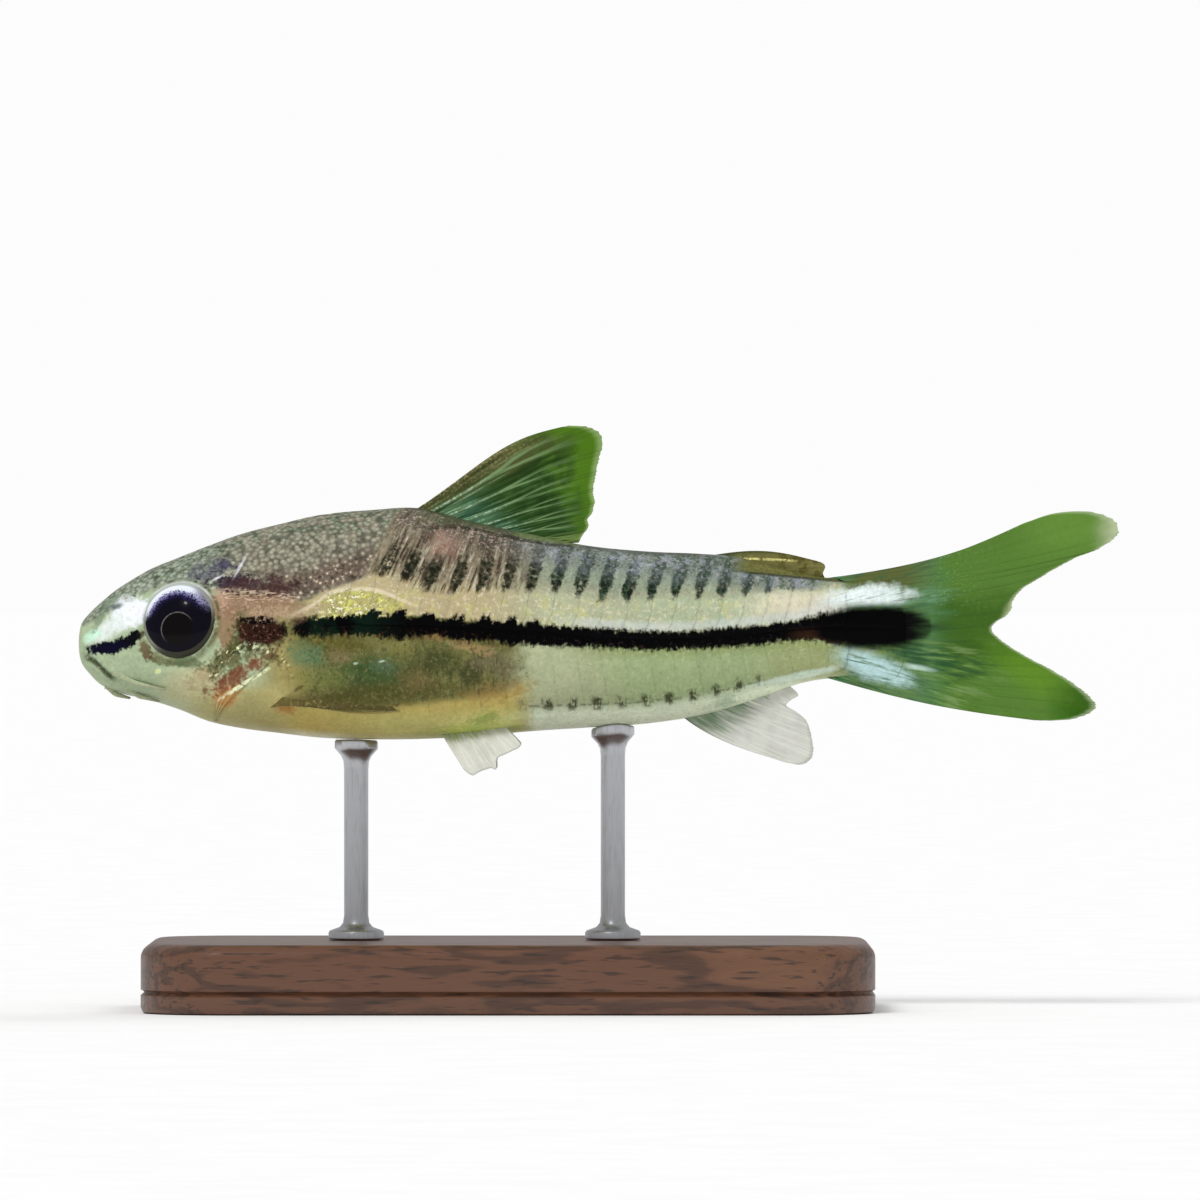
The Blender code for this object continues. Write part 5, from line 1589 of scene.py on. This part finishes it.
def make_tail_fin(paint):
    def root(v):
        turn = (1 - 2 * v) * math.pi / 2
        return np.stack([between(TAIL_ROOT_X, np.cos(turn)), TAIL_ROOT_Z * np.sin(turn)], axis=-1)

    return midline_fin("tail_fin_rays", root, TAIL_MARGIN, 17, paint, bow=(-0.30, 1.0),
                       rear_bow=-0.15, flesh=0.16, lead=0.03, relief=0.35, density=18)


PELVIC_ROOT = (10.30, 12.35)
PELVIC_MARGIN = (
    (0.00, 11.14, -4.10), (0.10, 11.36, -4.26), (0.22, 11.60, -4.16), (0.36, 11.93, -4.05),
    (0.43, 12.06, -4.06), (0.48, 12.06, -3.82), (0.60, 12.36, -3.58), (0.74, 12.70, -3.39),
    (0.84, 12.74, -3.27), (0.92, 12.56, -3.16), (1.00, 12.38, -3.00),
)
PELVIC_INNER = 1.05
PELVIC_SPLAY = math.radians(42)


def make_pelvic_fin(side, word, paint):
    def place(flat):
        hang = underside(flat[..., 0], PELVIC_INNER) - flat[..., 1]
        y = side * (PELVIC_INNER + hang * math.tan(PELVIC_SPLAY))
        return np.stack([flat[..., 0], y, flat[..., 1]], axis=-1)

    root = root_along(PELVIC_ROOT, lambda x: underside(x, PELVIC_INNER), ROOT_SINK)
    normal = (0, side * math.cos(PELVIC_SPLAY), math.sin(PELVIC_SPLAY))
    margin = margin_curve(PELVIC_MARGIN)
    return fin(f"pelvic_fin_{word}_rays", root, margin, place, normal, 7, paint,
               flesh=0.10, lead=0.03, relief=0.20)


PECTORAL_ROOT_X = (5.30, 5.95)
PECTORAL_ROOT_Z = -2.00
PECTORAL_MARGIN = (
    (0.00, 9.15, 4.75), (0.14, 9.35, 4.35), (0.28, 9.25, 3.95), (0.43, 9.00, 3.62),
    (0.57, 8.65, 3.36), (0.71, 8.25, 3.18), (0.86, 7.85, 3.06), (1.00, 7.45, 2.98),
)
# How far the pectoral fins sink along their spine and behind it
PECTORAL_FALL = 0.09
PECTORAL_TILT = 0.10
PECTORAL_OUT = 0.35


def make_pectoral_fin(side, word, paint):
    def place(flat):
        start_x = PECTORAL_ROOT_X[0]
        start_y = float(flank(start_x, PECTORAL_ROOT_Z)) + PECTORAL_OUT
        _, tip_x, tip_y = PECTORAL_MARGIN[0]
        spine_y = start_y + (flat[..., 0] - start_x) * (tip_y - start_y) / (tip_x - start_x)
        behind = np.maximum(spine_y - flat[..., 1], 0)
        fall = PECTORAL_FALL * (flat[..., 0] - start_x) + PECTORAL_TILT * behind
        return np.stack([flat[..., 0], side * flat[..., 1], PECTORAL_ROOT_Z - fall], axis=-1)

    root = root_along(PECTORAL_ROOT_X, lambda x: flank(x, PECTORAL_ROOT_Z), -ROOT_SINK)
    normal = (0, -side * PECTORAL_TILT, 1)
    margin = margin_curve(PECTORAL_MARGIN)
    return fin(f"pectoral_fin_{word}_rays", root, margin, place, normal, 8, paint,
               flesh=0.09, lead=0.09)


# Stand

BASE_LENGTH = 21.0
BASE_WIDTH = 12.0
BASE_HEIGHT = 2.0
BASE_CENTRE = 12.4
BASE_CORNER = 2.5
BASE_ROUND = 0.42
BASE_SIDES = 160
BASE_GROOVE = 0.10
ROD_PLACES = (("front", 8.0), ("rear", 15.4))
# Radius of a rod by height, first above the base and then below the belly
ROD_FOOT = (
    (0.76, 0.0), (0.80, 0.04), (0.80, 0.20), (0.76, 0.26), (0.62, 0.31), (0.48, 0.36),
    (0.38, 0.48), (0.35, 0.70),
)
ROD_CUP = (
    (0.35, 0.85), (0.37, 0.62), (0.44, 0.46), (0.55, 0.34), (0.62, 0.26), (0.62, 0.06),
    (0.58, 0.01), (0.40, 0.0),
)
ROD_SIDES = 64
ROD_GAP = 0.02
FLOOR_Z = -SEAM_HEIGHT


def paint_walnut():
    p = Paint("walnut_wood", (96, 62, 42), 0.42)
    rings = p.noise(2.2, 4.0, stretch=(6.0, 1.0, 1.0))
    lines = (rings * 46.0).wave() * 0.5 + 0.5
    pores = p.noise(0.13, 2.0, stretch=(9.0, 1.0, 1.0))
    p.lay((62, 38, 25), lines.rise(0.35, 0.95) * 0.75)
    p.lay((128, 88, 60), rings.rise(0.55, 0.75) * 0.5)
    p.lay((38, 24, 17), pores.rise(0.56, 0.66) * 0.7)
    p.roughness = pores * 0.25 + 0.28
    return p.finish(pores * -1.0 + lines * 0.2, 0.02, Coat_Weight=0.25, Coat_Roughness=0.25)


def paint_steel():
    p = Paint("brushed_steel", (186, 187, 190))
    scratches = p.noise(0.05, 3.0, stretch=(1.0, 1.0, 14.0))
    p.lay((160, 162, 167), scratches.rise(0.45, 0.7) * 0.5)
    p.roughness = scratches * 0.16 + 0.28
    return p.finish(scratches, 0.001, Metallic=1.0)


def rounded_ring(inset, z):
    """Points round the base's outline, drawn in by inset."""
    turn = 2 * math.pi * (np.arange(BASE_SIDES) + 0.5) / BASE_SIDES
    radius = BASE_CORNER - inset
    x = (BASE_LENGTH / 2 - BASE_CORNER) * np.sign(np.cos(turn)) + radius * np.cos(turn)
    y = (BASE_WIDTH / 2 - BASE_CORNER) * np.sign(np.sin(turn)) + radius * np.sin(turn)
    return np.stack([BASE_CENTRE + x, y, np.full(BASE_SIDES, FLOOR_Z + z)], axis=-1)


def round_ring(centre, radius, z, sides):
    """Points of a level circle round a place on the midline."""
    turn = 2 * math.pi * np.arange(sides) / sides
    return np.stack([centre + radius * np.cos(turn), radius * np.sin(turn), z + 0 * turn], axis=-1)


def make_base(paint):
    """A low block with rounded corners, a rounded upper edge and a groove round its side."""
    rings = [rounded_ring(0.18, 0.0), rounded_ring(0.05, 0.05), rounded_ring(0.0, 0.18)]
    for step in range(7):
        z = 0.52 + 0.16 * step / 6
        rings.append(rounded_ring(BASE_GROOVE * math.sin(math.pi * step / 6), z))
    for step in range(9):
        angle = math.pi / 2 * step / 8
        inset = BASE_ROUND * (1 - math.cos(angle))
        rings.append(rounded_ring(inset, BASE_HEIGHT - BASE_ROUND * (1 - math.sin(angle))))
    for inset in (0.8, 1.6, 2.3):
        rings.append(rounded_ring(inset, BASE_HEIGHT))
    ends = [np.array([BASE_CENTRE, 0, FLOOR_Z + z]) for z in (0, BASE_HEIGHT)]
    return closed_tube("stand_base_wood", np.array(rings), {}, paint, ends=ends, sharp_angle=40)


def make_rod(name, place, paint):
    """A turned rod: a collar on the base, a slim shaft and a cup under the belly."""
    foot = FLOOR_Z + BASE_HEIGHT + ROD_GAP
    rings = [round_ring(place, radius, foot + height, ROD_SIDES) for radius, height in ROD_FOOT]
    for radius, drop in ROD_CUP:
        ring = round_ring(place, radius, 0.0, ROD_SIDES)
        ring[:, 2] = underside(ring[:, 0], ring[:, 1]) - ROD_GAP - drop
        rings.append(ring)
    return closed_tube(f"stand_rod_{name}_steel", np.array(rings), {}, paint, sharp_angle=40)


# Studio

# The photograph: width of its frame and of a pixel in millimetres, the snout's place on the seam's
# level, and the middle of the frame
FRAME_WIDTH = 34.6
PIXEL = 0.028818
SNOUT_PIXEL = (78.5, 628.0)
FRAME_CENTRE_PIXEL = 600.0
CAMERA_DISTANCE = 400.0
FLOOR_RADII = (40, 150, 600, 2500, 12000)
FLOOR_SIDES = 96
# Strength of the light from all round, and of the backdrop that the camera sees
AMBIENT = 0.52
BACKDROP = 0.975
# Directions from which the suns shine
KEY_SIDE = (-0.25, -0.62, 0.745)
FILL_SIDE = (0.45, 0.55, 0.70)


def make_camera():
    """Looks along +Y, with the middle of the photograph's frame in its middle."""
    data = bpy.data.cameras.new("camera")
    data.sensor_width = 36.0
    data.lens = data.sensor_width * CAMERA_DISTANCE / FRAME_WIDTH
    data.clip_start, data.clip_end = 0.01, 60.0
    camera = bpy.data.objects.new("camera", data)
    x = (FRAME_CENTRE_PIXEL - SNOUT_PIXEL[0]) * PIXEL
    z = (SNOUT_PIXEL[1] - FRAME_CENTRE_PIXEL) * PIXEL
    camera.location = in_metres(np.array([x, -CAMERA_DISTANCE, z]))
    camera.rotation_euler = (math.pi / 2, 0, 0)
    bpy.context.scene.collection.objects.link(camera)
    bpy.context.scene.camera = camera


def make_sun(name, towards, power, angle, glints=False):
    """A light from far away in a direction. Only a narrow one shows in glossy surfaces."""
    data = bpy.data.lights.new(name, "SUN")
    data.energy, data.angle = power, math.radians(angle)
    light = bpy.data.objects.new(name, data)
    light.visible_glossy = glints
    light.rotation_euler = Vector(towards).to_track_quat("Z", "Y").to_euler()
    bpy.context.scene.collection.objects.link(light)


def make_floor():
    """A plain pale floor that reaches past the horizon of every view."""
    p = Paint("studio_floor", (248, 248, 248), 0.9)
    grain = p.noise(3.0, 3.0)
    p.lay((243, 243, 243), grain.rise(0.4, 0.7) * 0.5)
    finish = p.finish(grain, 0.01, Specular_IOR_Level=0.0)
    middle, n = TOTAL_LENGTH / 2, FLOOR_SIDES
    rings = np.array([round_ring(middle, radius, FLOOR_Z, n) for radius in FLOOR_RADII])
    quads, places = grid_cells(len(rings), n, wraps=True)
    points = np.concatenate([rings.reshape(-1, 3), [[middle, 0, FLOOR_Z]]])
    j = np.arange(n)
    fan = np.stack([(j + 1) % n, j, np.full(n, len(points) - 1)], axis=-1)
    floor = assembled("floor", points, [quads, fan], [places, np.zeros((n, 3, 2))], {}, finish)


def make_world():
    """Even light from all round, and a pale backdrop as bright as the floor."""
    world = bpy.data.worlds.new("studio")
    world.use_nodes = True
    tree = world.node_tree
    light = tree.nodes["Background"]
    light.inputs["Color"].default_value = (1, 1, 1, 1)
    light.inputs["Strength"].default_value = AMBIENT
    backdrop = tree.nodes.new("ShaderNodeBackground")
    backdrop.inputs["Color"].default_value = (1, 1, 1, 1)
    backdrop.inputs["Strength"].default_value = BACKDROP
    ray = tree.nodes.new("ShaderNodeLightPath")
    mix = tree.nodes.new("ShaderNodeMixShader")
    tree.links.new(ray.outputs["Is Camera Ray"], mix.inputs[0])
    tree.links.new(light.outputs[0], mix.inputs[1])
    tree.links.new(backdrop.outputs[0], mix.inputs[2])
    tree.links.new(mix.outputs[0], tree.nodes["World Output"].inputs["Surface"])
    bpy.context.scene.world = world
    bpy.context.scene.view_settings.view_transform = "Standard"


def dressed(piece, slot, *nodes):
    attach(piece, "root")
    if nodes:
        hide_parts(*nodes)


def build_fish():
    body = paint_body("body_skin")
    dressed(make_skin(body), "skin", "head", "trunk", "tail_stalk")
    eye, barbel = paint_eye(), paint_barbel()
    pelvic = paint_clear_fin("pelvic_fin_web", (150, 168, 92))
    pectoral = paint_pectoral()
    for side, word in ((-1, "left"), (1, "right")):
        dressed(make_plates(side, word, body), "skin")
        dressed(make_gill_cover(side, word, body), "gill_cover", "gill_cover_" + word)
        dressed(make_eye(side, word, eye), "eye", "eye_" + word)
        for name, root, tip in BARBELS:
            node = f"barbel_{name}_{word}"
            dressed(make_barbel(name, root, tip, side, word, barbel), "barbel", node)
        dressed(make_pelvic_fin(side, word, pelvic), "clear_fin", "pelvic_fin_" + word)
        dressed(make_pectoral_fin(side, word, pectoral), "clear_fin", "pectoral_fin_" + word)
    dressed(make_dorsal_fin(paint_dorsal()), "green_fin", "dorsal_fin")
    dressed(make_adipose_fin(paint_adipose()), "green_fin", "adipose_fin")
    dressed(make_tail_fin(paint_tail()), "green_fin", "tail_fin_upper", "tail_fin_lower")
    anal = paint_clear_fin("anal_fin_web", (116, 142, 108))
    dressed(make_anal_fin(anal), "clear_fin", "anal_fin")


def build_stand():
    dressed(make_base(paint_walnut()), "walnut", "stand_base")
    steel = paint_steel()
    for name, place in ROD_PLACES:
        dressed(make_rod(name, place, steel), "steel", "stand_rod_" + name)


build_fish()
build_stand()
make_floor()
make_world()
make_camera()
make_sun("key", KEY_SIDE, 1.65, 24)
make_sun("spark", KEY_SIDE, 0.20, 4, glints=True)
make_sun("fill", FILL_SIDE, 0.45, 24)
